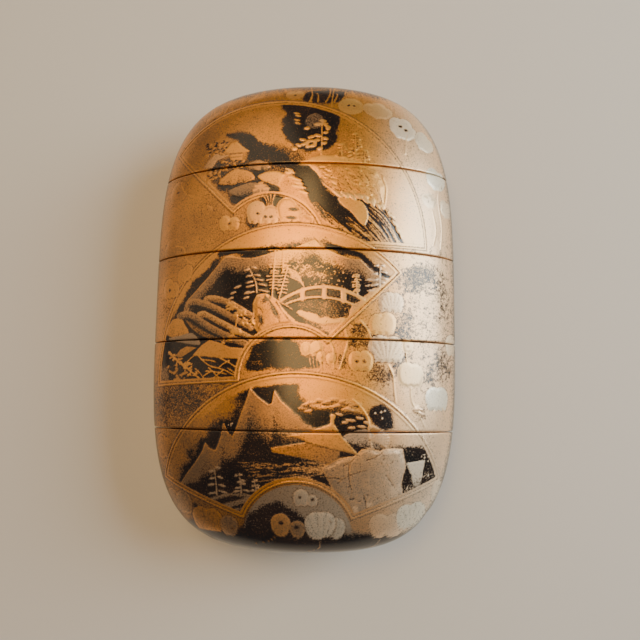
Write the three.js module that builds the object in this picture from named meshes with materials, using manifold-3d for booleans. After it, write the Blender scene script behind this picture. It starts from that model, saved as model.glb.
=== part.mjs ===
// A four-case inro: a slim lacquered box of a lid and four stacked cases, lying on its back.
// Each case is a cup with a thin riser round its mouth, and the piece above sits over that riser.
// Two cord channels run through the side walls of all five pieces.
// Millimetres. X across the broad face, Y from the foot end to the lid end, Z up out of the front face.
import * as THREE from "three";
import { mergeVertices } from "three/addons/utils/BufferGeometryUtils.js";
import Module from "manifold-3d";

// Outer form: every cross-section is the same lens, scaled down towards the two domed ends.
const LENGTH = 92;
const WIDTH = 60;
const THICKNESS = 25;
const OUTLINE = { along: 3.75, across: 3.45 }; // how full the front view is towards the ends
const PROFILE = { along: 3.2, across: 3.2 }; // how full the side view is towards the ends
const FLAT_DEPTH = 0.2; // taken off the back, where the inro rests

// The stack, from the lid down.
const LID_HEIGHT = 19.4;
const CASE_HEIGHT = 16.6;
const SEAM_GAP = 0.2;
const SEAM_EASE = 0.25; // rounding of the edges along a seam

// Risers, sockets and compartments.
const RISER = { halfWidth: 21, halfThickness: 9.8, wall: 0.9, height: 4.5 };
const FIT = 0.25; // running clearance between a riser and its socket
const SOCKET_DEPTH = RISER.height + 0.3;
const FLOOR = 1.6;
const END_WALL = 4.5;
const SIDE_WALL = 3.6;
const FACE_WALL = 2.8;

// Cord channels.
const CORD_BORE = 2.6;
const CORD_OFFSET = 23.8;

const OUTER_SEGMENTS = 64;
const INNER_SEGMENTS = 44;
const BORE_SEGMENTS = 16;

const HALF_LENGTH = LENGTH / 2;
const REST_HEIGHT = THICKNESS / 2 - FLAT_DEPTH;
const LID_SEAM = HALF_LENGTH - LID_HEIGHT;
const SEAMS = [0, 1, 2, 3].map((n) => LID_SEAM - n * CASE_HEIGHT);

// Cross-section rules: the share of the half thickness reached at the given sine round the ring.
const lens = (sine) => 0.5 * sine + 0.5 * sine ** 1.5; // low dome with a small round side edge
const boxy = (sine) => sine ** 0.7;

const wasm = await Module();
wasm.setup();

// The share of the full width or thickness that is left at a distance y from the middle.
function fullness(y, { along, across }) {
  return Math.max(0, 1 - Math.abs(y / HALF_LENGTH) ** along) ** (1 / across);
}

const halfWidthAt = (y) => (WIDTH / 2) * fullness(y, OUTLINE);
const halfThicknessAt = (y) => (THICKNESS / 2) * fullness(y, PROFILE);

// Evenly spread numbers from low to high, both included.
function spread(low, high, steps) {
  return Array.from({ length: steps + 1 }, (_, n) => low + ((high - low) * n) / steps);
}

// Heights of the outer rings: few along the straight sides and many round the domed ends.
const RINGS = spread(-Math.PI / 2, Math.PI / 2, 24)
  .slice(1, -1)
  .map((turn) => Math.sign(turn) * HALF_LENGTH * Math.abs(Math.sin(turn)) ** (2 / OUTLINE.along));
const TIP_FROM = RINGS[RINGS.length - 1] - 0.01;

// three.js geometry to a manifold-3d solid.
function solidOf(geometry) {
  const bare = geometry.clone();
  bare.deleteAttribute("normal");
  bare.deleteAttribute("uv");
  const merged = mergeVertices(bare, 1e-4);
  return new wasm.Manifold(
    new wasm.Mesh({
      numProp: 3,
      vertProperties: new Float32Array(merged.getAttribute("position").array),
      triVerts: new Uint32Array(merged.index.array),
    }),
  );
}

// manifold-3d solid to a named three.js mesh.
function meshOf(name, solid, material) {
  const { vertProperties, triVerts } = solid.getMesh();
  const geometry = new THREE.BufferGeometry();
  geometry.setAttribute("position", new THREE.BufferAttribute(vertProperties, 3));
  geometry.setIndex(new THREE.BufferAttribute(triVerts, 1));
  geometry.computeVertexNormals();
  const mesh = new THREE.Mesh(geometry, material);
  mesh.name = name;
  return mesh;
}

// A closed solid through rings { y, halfWidth, halfThickness }, listed from the foot end up.
// It is a lathed drum whose rings are then pressed flat by the section rule. A domed end is closed
// at the tip of the inro, any other end flat.
function pressed(rings, section, segments) {
  const closing = ({ y }) => (Math.abs(y) > TIP_FROM ? Math.sign(y) * HALF_LENGTH : y);
  const profile = [
    new THREE.Vector2(0, closing(rings[0])),
    ...rings.map(({ y }) => new THREE.Vector2(1, y)),
    new THREE.Vector2(0, closing(rings[rings.length - 1])),
  ];
  const drum = new THREE.LatheGeometry(profile, segments);
  const place = drum.getAttribute("position");
  for (let i = 0; i < place.count; i++) {
    const ring = rings[(i % profile.length) - 1];
    if (!ring) continue;
    const sine = place.getZ(i);
    place.setX(i, ring.halfWidth * place.getX(i));
    place.setZ(i, ring.halfThickness * Math.sign(sine) * section(Math.abs(sine)));
  }
  return solidOf(drum);
}

const outerRing = (y, inset = 0) => ({
  y,
  halfWidth: halfWidthAt(y) - inset,
  halfThickness: halfThicknessAt(y) - inset,
});

// The closed outer form between two seams, with its seam edges eased.
function outerBody(bottom, top) {
  const low = bottom + SEAM_GAP / 2;
  const high = top - SEAM_GAP / 2;
  const foot = bottom > -HALF_LENGTH ? [outerRing(low, SEAM_EASE), outerRing(low + SEAM_EASE)] : [];
  const head = top < HALF_LENGTH ? [outerRing(high - SEAM_EASE), outerRing(high, SEAM_EASE)] : [];
  const clear = (y) => SEAMS.every((seam) => Math.abs(y - seam) > 1.5);
  const between = RINGS.filter((y) => y > bottom && y < top && clear(y));
  return pressed([...foot, ...between.map((y) => outerRing(y)), ...head], lens, OUTER_SEGMENTS);
}

// A straight drum of the riser family; grow widens or narrows it evenly.
function drum(bottom, top, grow) {
  const rings = [bottom, top].map((y) => ({
    y,
    halfWidth: RISER.halfWidth + grow,
    halfThickness: RISER.halfThickness + grow,
  }));
  return pressed(rings, boxy, INNER_SEGMENTS);
}

// The hollow of a compartment. Inside a domed end it draws in and keeps its walls.
function hollow(bottom, top) {
  const rings = spread(bottom, top, 5).map((y) => ({
    y,
    halfWidth: Math.min(RISER.halfWidth - RISER.wall, halfWidthAt(y) - SIDE_WALL),
    halfThickness: Math.min(RISER.halfThickness - RISER.wall, halfThicknessAt(y) - FACE_WALL),
  }));
  return pressed(rings, boxy, INNER_SEGMENTS);
}

function cordChannels() {
  const bore = new THREE.CylinderGeometry(CORD_BORE / 2, CORD_BORE / 2, LENGTH + 2, BORE_SEGMENTS);
  return [-1, 1]
    .map((side) => solidOf(bore.clone().translate(side * CORD_OFFSET, 0, 0)))
    .reduce((all, one) => all.add(one));
}

function restingFlat() {
  const below = new THREE.BoxGeometry(WIDTH, LENGTH, THICKNESS);
  below.translate(0, 0, -REST_HEIGHT - THICKNESS / 2);
  return solidOf(below);
}

const cuts = cordChannels().add(restingFlat());

// One piece of the stack between two seams. A piece with a seam above it has a riser, and one with
// a seam below it has a socket that takes the next piece's riser.
function piece(name, bottom, top, material) {
  const hasSocket = bottom > -HALF_LENGTH;
  const hasRiser = top < HALF_LENGTH;
  let solid = outerBody(bottom, top);
  if (hasRiser) solid = solid.add(drum(top - RISER.height, top + RISER.height, 0));
  if (hasSocket) solid = solid.subtract(drum(bottom - 1, bottom + SOCKET_DEPTH, FIT));
  const floor = hasSocket ? bottom + SOCKET_DEPTH + FLOOR : bottom + END_WALL;
  const inside = hasRiser
    ? hollow(floor, top + RISER.height + 1)
    : hollow(bottom + SOCKET_DEPTH - 0.1, top - END_WALL);
  return meshOf(name, solid.subtract(inside).subtract(cuts), material);
}

const goldLacquer = new THREE.MeshStandardMaterial({ color: 0xb98a4a, roughness: 0.35, metalness: 0.6 });

const inro = new THREE.Group();
inro.add(
  piece("lid", SEAMS[0], HALF_LENGTH, goldLacquer),
  piece("first_case", SEAMS[1], SEAMS[0], goldLacquer),
  piece("second_case", SEAMS[2], SEAMS[1], goldLacquer),
  piece("third_case", SEAMS[3], SEAMS[2], goldLacquer),
  piece("bottom_case", -HALF_LENGTH, SEAMS[3], goldLacquer),
);
inro.position.z = REST_HEIGHT;

export default inro;
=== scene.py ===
"""A four-case inro lying on its back: gold and black lacquer over five fitted wooden pieces."""

import math
from functools import lru_cache

import bpy
import numpy as np
from mathutils import Euler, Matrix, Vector


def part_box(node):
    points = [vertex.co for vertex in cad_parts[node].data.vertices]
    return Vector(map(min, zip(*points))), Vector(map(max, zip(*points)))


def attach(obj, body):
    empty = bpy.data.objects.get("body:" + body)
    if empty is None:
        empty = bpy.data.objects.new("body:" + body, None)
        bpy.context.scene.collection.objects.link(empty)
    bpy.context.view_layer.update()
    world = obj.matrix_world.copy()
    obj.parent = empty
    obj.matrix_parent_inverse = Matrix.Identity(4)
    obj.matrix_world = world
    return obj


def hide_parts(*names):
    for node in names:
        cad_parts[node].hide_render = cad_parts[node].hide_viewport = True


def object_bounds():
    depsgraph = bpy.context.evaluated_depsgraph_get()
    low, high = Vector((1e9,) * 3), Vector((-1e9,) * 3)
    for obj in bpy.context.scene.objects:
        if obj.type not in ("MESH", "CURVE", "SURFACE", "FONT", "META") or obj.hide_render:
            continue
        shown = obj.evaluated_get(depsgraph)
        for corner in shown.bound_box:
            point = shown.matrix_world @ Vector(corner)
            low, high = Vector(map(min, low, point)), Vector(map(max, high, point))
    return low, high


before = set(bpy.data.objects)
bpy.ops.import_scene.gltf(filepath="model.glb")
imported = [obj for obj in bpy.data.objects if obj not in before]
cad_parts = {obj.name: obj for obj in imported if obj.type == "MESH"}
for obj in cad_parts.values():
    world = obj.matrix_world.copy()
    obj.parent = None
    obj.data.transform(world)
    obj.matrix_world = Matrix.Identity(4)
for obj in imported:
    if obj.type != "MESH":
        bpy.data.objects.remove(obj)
CAD_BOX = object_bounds()

bl_info = {
    "name": "Four-case inro",
    "version": (1, 0, 0),
    "blender": (4, 5, 0),
    "location": "3D View > Sidebar > Inro",
    "description": "Makes a lacquered inro with three landscape fans, and a plain stage for it",
    "category": "Add Mesh",
}

MM = 0.001
SEAM_GAP = 0.2 * MM
FLAT_DEPTH = 0.2 * MM
LID, BOTTOM = "lid", "bottom_case"
CASES = ("first_case", "second_case", "third_case")
SOCKETED = (LID, *CASES)  # the pieces that sit over another one's riser


def extent(axis):
    return CAD_BOX[1][axis] - CAD_BOX[0][axis]


# Where each seam crosses the case, from the lid down.
SEAMS = [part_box(name)[0].y - SEAM_GAP / 2 for name in SOCKETED]


def length(name, description, default):
    """A size that the sidebar shows in the scene's units."""
    return bpy.props.FloatProperty(
        name=name, description=description, default=default, min=0, unit="LENGTH", precision=5
    )


def share(name, description, default, top=10.0):
    return bpy.props.FloatProperty(name=name, description=description, default=default, min=0, max=top)


def colour(name, description, default):
    return bpy.props.FloatVectorProperty(
        name=name, description=description, default=default, size=3, min=0, max=1, subtype="COLOR"
    )


class InroSizes(bpy.types.PropertyGroup):
    """Outer form, fits and walls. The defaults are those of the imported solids."""

    length: length("Length", "From the foot end to the lid end", extent(1))
    width: length("Width", "Across the broad face", extent(0))
    thickness: length("Thickness", "Through the middle, before the resting flat", extent(2) + FLAT_DEPTH)
    outline_along: share("Outline along", "How long the sides run straight, seen from the front", 3.75)
    outline_across: share("Outline across", "How square the shoulders are, seen from the front", 3.45)
    profile_along: share("Profile along", "How long the faces run straight, seen from the side", 3.2)
    profile_across: share("Profile across", "How square the ends are, seen from the side", 3.2)
    seam_ease: length("Seam easing", "Rounding of the edges along a seam", 0.22 * MM)
    riser_half_width: length("Riser half width", "Half the width of a riser", 21 * MM)
    riser_half_thickness: length("Riser half thickness", "Half the thickness of a riser", 9.8 * MM)
    riser_wall: length("Riser wall", "Wall of a riser", 0.9 * MM)
    riser_height: length("Riser height", "How far a riser stands up", 4.5 * MM)
    fit: length("Fit", "Clearance round a riser in its socket", 0.25 * MM)
    socket_depth: length("Socket depth", "How deep a socket is", 4.8 * MM)
    floor: length("Floor", "Floor of a compartment", 1.6 * MM)
    end_wall: length("End wall", "Wall at the domed ends", 4.5 * MM)
    side_wall: length("Side wall", "Wall at the sides of a domed end", 3.6 * MM)
    face_wall: length("Face wall", "Wall at the faces of a domed end", 2.8 * MM)
    cord_bore: length("Cord bore", "Diameter of a cord channel", 2.6 * MM)
    cord_offset: length("Cord offset", "From the middle to a cord channel", 23.8 * MM)
    faces: bpy.props.IntProperty(
        name="Faces", description="Faces of the outer skin of one piece", default=86000, min=1000
    )


class InroLacquers(bpy.types.PropertyGroup):
    """Colours of the lacquers and metal powders."""

    black: colour("Black lacquer", "Ground where the gold is worn or left out", (0.006, 0.005, 0.005))
    brown: colour("Brown lacquer", "Warmer patches of the ground", (0.022, 0.012, 0.009))
    dull_gold: colour("Dull gold", "Thin, dark gold powder", (0.22, 0.105, 0.035))
    gold: colour("Gold", "Full gold powder", (0.90, 0.38, 0.055))
    pale_gold: colour("Pale gold", "Polished and raised gold", (1.0, 0.52, 0.10))
    silver: colour("Silver", "Silver powder on blossoms, moon and sail", (0.85, 0.79, 0.66))
    nashiji: colour("Pear-skin lacquer", "Amber lacquer inside the cases", (0.21, 0.080, 0.022))


class InroStage(bpy.types.PropertyGroup):
    """Floor and lamps."""

    floor: colour("Floor", "Colour of the floor", (0.70, 0.70, 0.70))
    warm: colour("Warm lamp", "Colour of the lamp over the face", (1.0, 0.60, 0.22))
    cool: colour("Cool lamp", "Colour of the lamp on the right", (0.94, 1.0, 0.96))
    fill: colour(
        "Fill lamps", "Colour of the wide lamp behind the lid and the weak one on the left",
        (1.0, 0.74, 0.44),
    )
    sky: colour("Sky", "Colour of the even light all round", (0.80, 0.90, 1.0))
    warm_power: share("Warm power", "Watts of the lamp over the face", 1.15, 100)
    cool_power: share("Cool power", "Watts of the lamp on the right", 2.8, 100)
    left_power: share("Left power", "Watts of the weak lamp on the left", 0.15, 100)
    fill_power: share("Fill power", "Watts of the wide lamp behind the lid", 0.65, 100)
    sky_power: share("Sky power", "Strength of the even light all round", 0.09)


# ---------------------------------------------------------------------------------------------
# The form. Each rule works on numbers, on numpy arrays and on the wires of a node tree alike.


def fullness(place, along, across):
    """Share of the full size that is left at a place from 0, the middle, to 1, the tip."""
    return (1 - abs(place) ** along) ** (1 / across)


def lens(rise):
    """Outer section: a low dome that ends in a small round side edge."""
    return 0.5 * rise + 0.5 * rise**1.5


def boxy(rise):
    """Section of the risers, sockets and compartments."""
    return rise**0.7


def outer_half_sizes(y, sizes):
    """Half width and half thickness of the outer form at the height y."""
    place = y / (sizes.length / 2)
    half_width = sizes.width / 2 * fullness(place, sizes.outline_along, sizes.outline_across)
    half_thickness = sizes.thickness / 2 * fullness(place, sizes.profile_along, sizes.profile_across)
    return half_width, half_thickness


DRUM_SIDES = 96
BORE_SIDES = 40


class Board:
    """A node tree under construction."""

    def __init__(self, tree):
        self.tree = tree

    def node(self, kind, settings=None, values=None, output=0):
        """Adds a node: settings first, then values or wires by socket name or index."""
        made = self.tree.nodes.new(kind)
        for name, value in (settings or {}).items():
            if name == "stops":
                set_stops(made.color_ramp, value)
            else:
                setattr(made, name, value)
        pairs = values.items() if isinstance(values, dict) else enumerate(values or [])
        for key, value in pairs:
            for one in value if isinstance(value, list) else [value]:
                if isinstance(one, Wire):
                    self.tree.links.new(one.socket, made.inputs[key])
                else:
                    made.inputs[key].default_value = one
        return Wire(self, made.outputs[output]) if len(made.outputs) else made


class Wire:
    """An output socket. Arithmetic on it adds Math nodes to its tree."""

    def __init__(self, board, socket):
        self.board = board
        self.socket = socket

    def other(self, name):
        """Another output of the same node."""
        return Wire(self.board, self.socket.node.outputs[name])

    def maths(self, operation, *values):
        return self.board.node("ShaderNodeMath", {"operation": operation}, list(values))

    def __add__(self, other):
        return self.maths("ADD", self, other)

    def __sub__(self, other):
        return self.maths("SUBTRACT", self, other)

    def __rsub__(self, other):
        return self.maths("SUBTRACT", other, self)

    def __mul__(self, other):
        return self.maths("MULTIPLY", self, other)

    def __truediv__(self, other):
        return self.maths("DIVIDE", self, other)

    def __rtruediv__(self, other):
        return self.maths("DIVIDE", other, self)

    def __pow__(self, other):
        return self.maths("POWER", self, other)

    def __abs__(self):
        return self.maths("ABSOLUTE", self)

    def sign(self):
        return self.maths("SIGN", self)

    def lesser(self, other):
        return self.maths("MINIMUM", self, other)

    def greater(self, other):
        return self.maths("MAXIMUM", self, other)

    def between(self, low, high):
        """0 below low, 1 above high and an even slope between them."""
        return self.board.node(
            "ShaderNodeMapRange", {"clamp": True}, {"Value": self, "From Min": low, "From Max": high}
        )

    __radd__ = __add__
    __rmul__ = __mul__


def set_stops(ramp, stops):
    for _ in range(len(stops) - len(ramp.elements)):
        ramp.elements.new(0.5)
    for element, (place, shade) in zip(ramp.elements, stops):
        element.position = place
        element.color = (*shade, 1)


class PieceTree:
    """The node tree that presses a round drum to the inro's form and fits it out inside."""

    SIZE_NAMES = [name for name in InroSizes.__annotations__ if name not in ("seam_ease", "faces")]

    def __init__(self, name, has_socket, has_riser):
        self.tree = bpy.data.node_groups.new(name, "GeometryNodeTree")
        self.board = Board(self.tree)
        self.add_sockets()
        self.inputs = self.tree.nodes.new("NodeGroupInput")
        body = self.outer_body()
        if has_riser:
            top = self.wire("top")
            riser = self.drum(top - self.riser_height, top + self.riser_height, *self.riser_size(0.0))
            body = self.combine("UNION", body, [riser])
        if has_socket:
            body = self.combine("DIFFERENCE", body, [self.socket()])
        body = self.combine("DIFFERENCE", body, [self.hollow(has_socket, has_riser)])
        body = self.combine("DIFFERENCE", body, [self.cord_channel(-1), self.cord_channel(1)])
        real = self.board.node("GeometryNodeRealizeInstances", {}, {"Geometry": body})
        lacquered = self.coat(real, "outside", True)
        self.board.node(
            "NodeGroupOutput", {}, {0: self.coat(lacquered, "inside", self.attribute("inner", "BOOLEAN"))},
        )

    def add_sockets(self):
        sockets = self.tree.interface
        sockets.new_socket("Geometry", in_out="INPUT", socket_type="NodeSocketGeometry")
        for name in (*self.SIZE_NAMES, "bottom", "top"):
            sockets.new_socket(name, in_out="INPUT", socket_type="NodeSocketFloat")
        for name in ("outside", "inside"):
            sockets.new_socket(name, in_out="INPUT", socket_type="NodeSocketMaterial")
        sockets.new_socket("Geometry", in_out="OUTPUT", socket_type="NodeSocketGeometry")

    def wire(self, name):
        return Wire(self.board, self.inputs.outputs[name])

    def __getattr__(self, name):
        """Lets the form's rules read this tree's inputs as they read the sizes."""
        if name in self.SIZE_NAMES:
            return self.wire(name)
        raise AttributeError(name)

    def combine(self, operation, body, others):
        settings = {"operation": operation, "solver": "MANIFOLD"}
        if operation == "UNION":
            return self.board.node("GeometryNodeMeshBoolean", settings, {"Mesh 2": [body, *others]})
        return self.board.node(
            "GeometryNodeMeshBoolean", settings, {"Mesh 1": body, "Mesh 2": others}
        )

    def coat(self, body, material, where):
        values = {"Geometry": body, "Selection": where, "Material": self.wire(material)}
        return self.board.node("GeometryNodeSetMaterial", {}, values)

    def mark(self, body, inner):
        """Notes on every face whether it belongs to the inside."""
        settings = {"data_type": "BOOLEAN", "domain": "FACE"}
        values = {"Geometry": body, "Name": "inner", "Value": inner}
        return self.board.node("GeometryNodeStoreNamedAttribute", settings, values)

    def attribute(self, name, kind="FLOAT"):
        return self.board.node("GeometryNodeInputNamedAttribute", {"data_type": kind}, {"Name": name})

    def spot(self):
        """The three coordinates of each vertex."""
        place = self.board.node("GeometryNodeInputPosition")
        parts = self.board.node("ShaderNodeSeparateXYZ", {}, [place])
        return parts, parts.other("Y"), parts.other("Z")

    def move(self, body, x, y, z):
        place = self.board.node("ShaderNodeCombineXYZ", {}, [x, y, z])
        return self.board.node("GeometryNodeSetPosition", {}, {"Geometry": body, "Position": place})

    def middle(self):
        """Height of the middle plane above the floor."""
        return self.thickness * 0.5 - FLAT_DEPTH

    def outer_body(self):
        """The pressed drum, with the raised lacquer work standing off it and the back worn flat."""
        side, y, face = self.spot()
        half_width, half_thickness = outer_half_sizes(y, self)
        inset = self.attribute("inset")
        z = (half_thickness - inset) * face.sign() * lens(abs(face))
        body = self.move(self.wire("Geometry"), (half_width - inset) * side, y, z + self.middle())
        normal = self.board.node("GeometryNodeInputNormal")
        off = self.board.node(
            "ShaderNodeVectorMath", {"operation": "SCALE"}, {0: normal, "Scale": self.attribute("lift")}
        )
        body = self.board.node("GeometryNodeSetPosition", {}, {"Geometry": body, "Offset": off})
        x, y, z = self.spot()
        return self.mark(self.move(body, x, y, z.greater(0.0)), False)

    def drum(self, bottom, top, half_width, half_thickness, steps=1):
        """A drum of the boxy section. The half sizes may follow the height."""
        round_drum = self.board.node(
            "GeometryNodeMeshCylinder", {}, {
                "Vertices": DRUM_SIDES, "Side Segments": steps, "Radius": 1.0, "Depth": 1.0,
            }
        )
        lying = self.board.node(
            "GeometryNodeTransform", {}, {"Geometry": round_drum, "Rotation": (-math.pi / 2, 0, 0)}
        )
        side, height, face = self.spot()
        y = bottom + (top - bottom) * (height + 0.5)
        wide, thick = half_width(y), half_thickness(y)
        z = thick * face.sign() * boxy(abs(face))
        return self.mark(self.move(lying, wide * side, y, z + self.middle()), True)

    def riser_size(self, grow):
        return (lambda y: self.riser_half_width + grow), (lambda y: self.riser_half_thickness + grow)

    def socket(self):
        bottom = self.wire("bottom")
        return self.drum(bottom - MM, bottom + self.socket_depth, *self.riser_size(self.fit))

    def hollow(self, has_socket, has_riser):
        """The compartment, which draws in where a domed end closes round it."""
        bottom, top = self.wire("bottom"), self.wire("top")
        low = bottom + self.socket_depth + self.floor if has_socket else bottom + self.end_wall
        high = top + self.riser_height + MM
        if not has_riser:
            low, high = bottom + self.socket_depth - 0.1 * MM, top - self.end_wall

        def wide(y):
            return (outer_half_sizes(y, self)[0] - self.side_wall).lesser(
                self.riser_half_width - self.riser_wall
            )

        def thick(y):
            return (outer_half_sizes(y, self)[1] - self.face_wall).lesser(
                self.riser_half_thickness - self.riser_wall
            )

        return self.drum(low, high, wide, thick, 5)

    def cord_channel(self, side):
        bore = self.board.node(
            "GeometryNodeMeshCylinder",
            {},
            {"Vertices": BORE_SIDES, "Radius": self.cord_bore * 0.5, "Depth": self.length * 1.1},
        )
        place = self.board.node("ShaderNodeCombineXYZ", {}, [self.cord_offset * side, 0.0, self.middle()])
        lying = self.board.node(
            "GeometryNodeTransform",
            {},
            {"Geometry": bore, "Translation": place, "Rotation": (math.pi / 2, 0, 0)},
        )
        return self.mark(lying, True)


# ---------------------------------------------------------------------------------------------
# The lacquer work, laid out flat in millimetres. u runs across a face from its ridge, v runs
# along the ridge from the middle of the inro, and both follow the curved surface.

SHEET_HALF_WIDTH = 35
SHEET_HALF_LENGTH = 53
SHEET_STEP = 0.1
EDGE = 0.07  # half the soft edge of a brush stroke
LAYERS = ("gold", "tone", "silver", "lift")
FULL_GOLD = 0.97  # cover of a stretch laid closed, with a few specks left open
BARE = {"gold": 0.05, "tone": 0.2}  # black lacquer with hardly a grain of powder


def ease(x, low, high):
    """A smooth step from 0 at low to 1 at high."""
    share = np.clip((x - low) / (high - low), 0, 1)
    return share * share * (3 - 2 * share)


def curve(points, closed=False, steps=6):
    """A smooth line through a few points."""
    points = [np.array(p, float) for p in points]
    count = len(points)
    result = []
    for n in range(count if closed else count - 1):
        at = [points[(n + k) % count if closed else min(max(n + k, 0), count - 1)] for k in (-1, 0, 1, 2)]
        for t in np.arange(steps) / steps:
            bend = (2 * at[0] - 5 * at[1] + 4 * at[2] - at[3]) * t * t
            swing = (3 * (at[1] - at[2]) + at[3] - at[0]) * t**3
            result.append(0.5 * (2 * at[1] + (at[2] - at[0]) * t + bend + swing))
    return result if closed else [*result, points[-1]]


def line_distance(u, v, points):
    """Distance of each spot from a line, and how far along it, from 0 to 1, the nearest point is."""
    best = np.full(u.shape, 1e9)
    along = np.zeros(u.shape)
    for n, (start, end) in enumerate(zip(points[:-1], points[1:])):
        du, dv = end[0] - start[0], end[1] - start[1]
        t = np.clip(((u - start[0]) * du + (v - start[1]) * dv) / (du * du + dv * dv + 1e-9), 0, 1)
        far = np.hypot(u - start[0] - t * du, v - start[1] - t * dv)
        nearer = far < best
        best = np.where(nearer, far, best)
        along = np.where(nearer, (n + t) / (len(points) - 1), along)
    return best, along


def within(u, v, outline):
    """Whether each spot lies inside a closed outline."""
    inside = np.zeros(u.shape, bool)
    for start, end in zip(outline, [*outline[1:], outline[0]]):
        rise = end[1] - start[1]
        if rise != 0:
            spans = (start[1] > v) != (end[1] > v)
            inside ^= spans & (u < start[0] + (v - start[1]) * (end[0] - start[0]) / rise)
    return inside


def softened(layer):
    """A layer with each spot shared with its neighbours."""
    padded = np.pad(layer, 1, mode="edge")
    rows = (padded[:-2] + 2 * padded[1:-1] + padded[2:]) / 4
    return (rows[:, :-2] + 2 * rows[:, 1:-1] + rows[:, 2:]) / 4


class Patch:
    """A rectangle of a sheet, with how much of each spot a shape covers."""

    def __init__(self, sheet, points, margin=0.8):
        us, vs = zip(*points)
        self.cols = slice(*np.searchsorted(sheet.u, [min(us) - margin, max(us) + margin]))
        self.rows = slice(*np.searchsorted(sheet.v, [min(vs) - margin, max(vs) + margin]))
        self.u, self.v = np.meshgrid(sheet.u[self.cols], sheet.v[self.rows])
        self.cover = np.zeros_like(self.u)
        self.along = self.depth = self.cover


class Sheet:
    """One face of the inro, with a layer for each thing that the lacquerer controls."""

    def __init__(self, seed):
        self.u = np.arange(-SHEET_HALF_WIDTH, SHEET_HALF_WIDTH, SHEET_STEP)
        self.v = np.arange(-SHEET_HALF_LENGTH, SHEET_HALF_LENGTH, SHEET_STEP)
        self.random = np.random.default_rng(seed)
        self.whole = Patch(self, [(self.u[0], self.v[0]), (self.u[-1], self.v[-1])])
        self.mask = np.ones(self.whole.u.shape)
        self.layers = {name: np.zeros_like(self.mask) for name in LAYERS}
        self.grain, self.mottle, self.cloud = (self.noise(cell) for cell in (0.35, 1.6, 7.0))

    def noise(self, cell):
        """Smooth random values about 0.5, in patches of about one cell."""
        values = self.random.random((int(120 / cell) + 3, int(80 / cell) + 3))
        for axis, places in ((0, self.v + SHEET_HALF_LENGTH), (1, self.u + SHEET_HALF_WIDTH)):
            spot = places[: self.mask.shape[axis]] / cell
            low = spot.astype(int)
            mix = ease(spot - low, 0, 1)
            mix = mix[:, None] if axis == 0 else mix[None, :]
            values = values.take(low, axis) * (1 - mix) + values.take(low + 1, axis) * mix
        return values

    def of(self, field, patch):
        """The part of a whole field that lies under a patch."""
        return field[patch.rows, patch.cols]

    def lay(self, patch, **amounts):
        """Brings the named layers to the given amounts, as far as the patch covers."""
        cover = patch.cover * self.of(self.mask, patch)
        for name, amount in amounts.items():
            layer = self.of(self.layers[name], patch)
            layer += (amount - layer) * cover

    def area(self, outline, soft=EDGE, rough=0.0):
        """The inside of an outline. soft is half its blurred edge, rough how far the edge strays."""
        patch = Patch(self, outline, 0.6 + soft + rough)
        far, _ = line_distance(patch.u, patch.v, [*outline, outline[0]])
        stray = 0.7 * self.of(self.mottle, patch) + 0.3 * self.of(self.grain, patch) - 0.5
        patch.depth = np.where(within(patch.u, patch.v, outline), far, -far) + 2 * rough * stray
        patch.cover = ease(patch.depth, -soft, soft)
        return patch

    def line(self, points, width, taper=0.0, soft=EDGE):
        """A brush line that thins by the taper towards its end. Widths may be given along it."""
        widths = np.atleast_1d(width)
        patch = Patch(self, points, 0.6 + max(widths) / 2 + soft)
        far, patch.along = line_distance(patch.u, patch.v, points)
        half = np.interp(patch.along, np.linspace(0, 1, len(widths)), widths) / 2 * (1 - taper * patch.along)
        patch.depth = half - far
        patch.cover = ease(patch.depth, -soft, soft)
        return patch

    def pad(self, u, v, half_u, half_v, turn=0.0, soft=EDGE):
        """A filled oval, turned anticlockwise."""
        reach = max(half_u, half_v) + soft
        patch = Patch(self, [(u - reach, v - reach), (u + reach, v + reach)])
        cosine, sine = math.cos(turn), math.sin(turn)
        du, dv = patch.u - u, patch.v - v
        out = np.hypot((du * cosine + dv * sine) / half_u, (dv * cosine - du * sine) / half_v)
        patch.depth = (1 - out) * min(half_u, half_v)
        patch.cover = ease(patch.depth, -soft, soft)
        patch.along = np.sqrt(np.clip(1 - out**2, 0, 1))
        return patch

    def fill(self, outline, *edge, **amounts):
        self.lay(self.area(outline, *edge), **amounts)

    def stroke(self, points, *brush, **amounts):
        self.lay(self.line(points, *brush), **amounts)

    def dab(self, *oval, **amounts):
        self.lay(self.pad(*oval), **amounts)

    def at(self, name, u, v):
        """The layer's value at each spot, which may lie between its own."""
        layer = self.layers[name]
        col = np.clip((u - self.u[0]) / SHEET_STEP, 0, layer.shape[1] - 1.001)
        row = np.clip((v - self.v[0]) / SHEET_STEP, 0, layer.shape[0] - 1.001)
        left, low = col.astype(int), row.astype(int)
        side, up = col - left, row - low
        below = layer[low, left] * (1 - side) + layer[low, left + 1] * side
        above = layer[low + 1, left] * (1 - side) + layer[low + 1, left + 1] * side
        return below * (1 - up) + above * up


# Motifs. Each is placed by its foot or middle and sized in millimetres.

CROWNS = {  # lobes of a bloom: across, up and radius, as shares of its width
    1: [(0, -0.08, 0.42), (-0.14, -0.10, 0.35), (0.14, -0.10, 0.35)],
    2: [(-0.19, 0, 0.30), (0.19, 0, 0.30), (0, -0.05, 0.26)],
    3: [(-0.27, -0.05, 0.22), (0, 0.04, 0.27), (0.27, -0.05, 0.22)],
}


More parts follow.
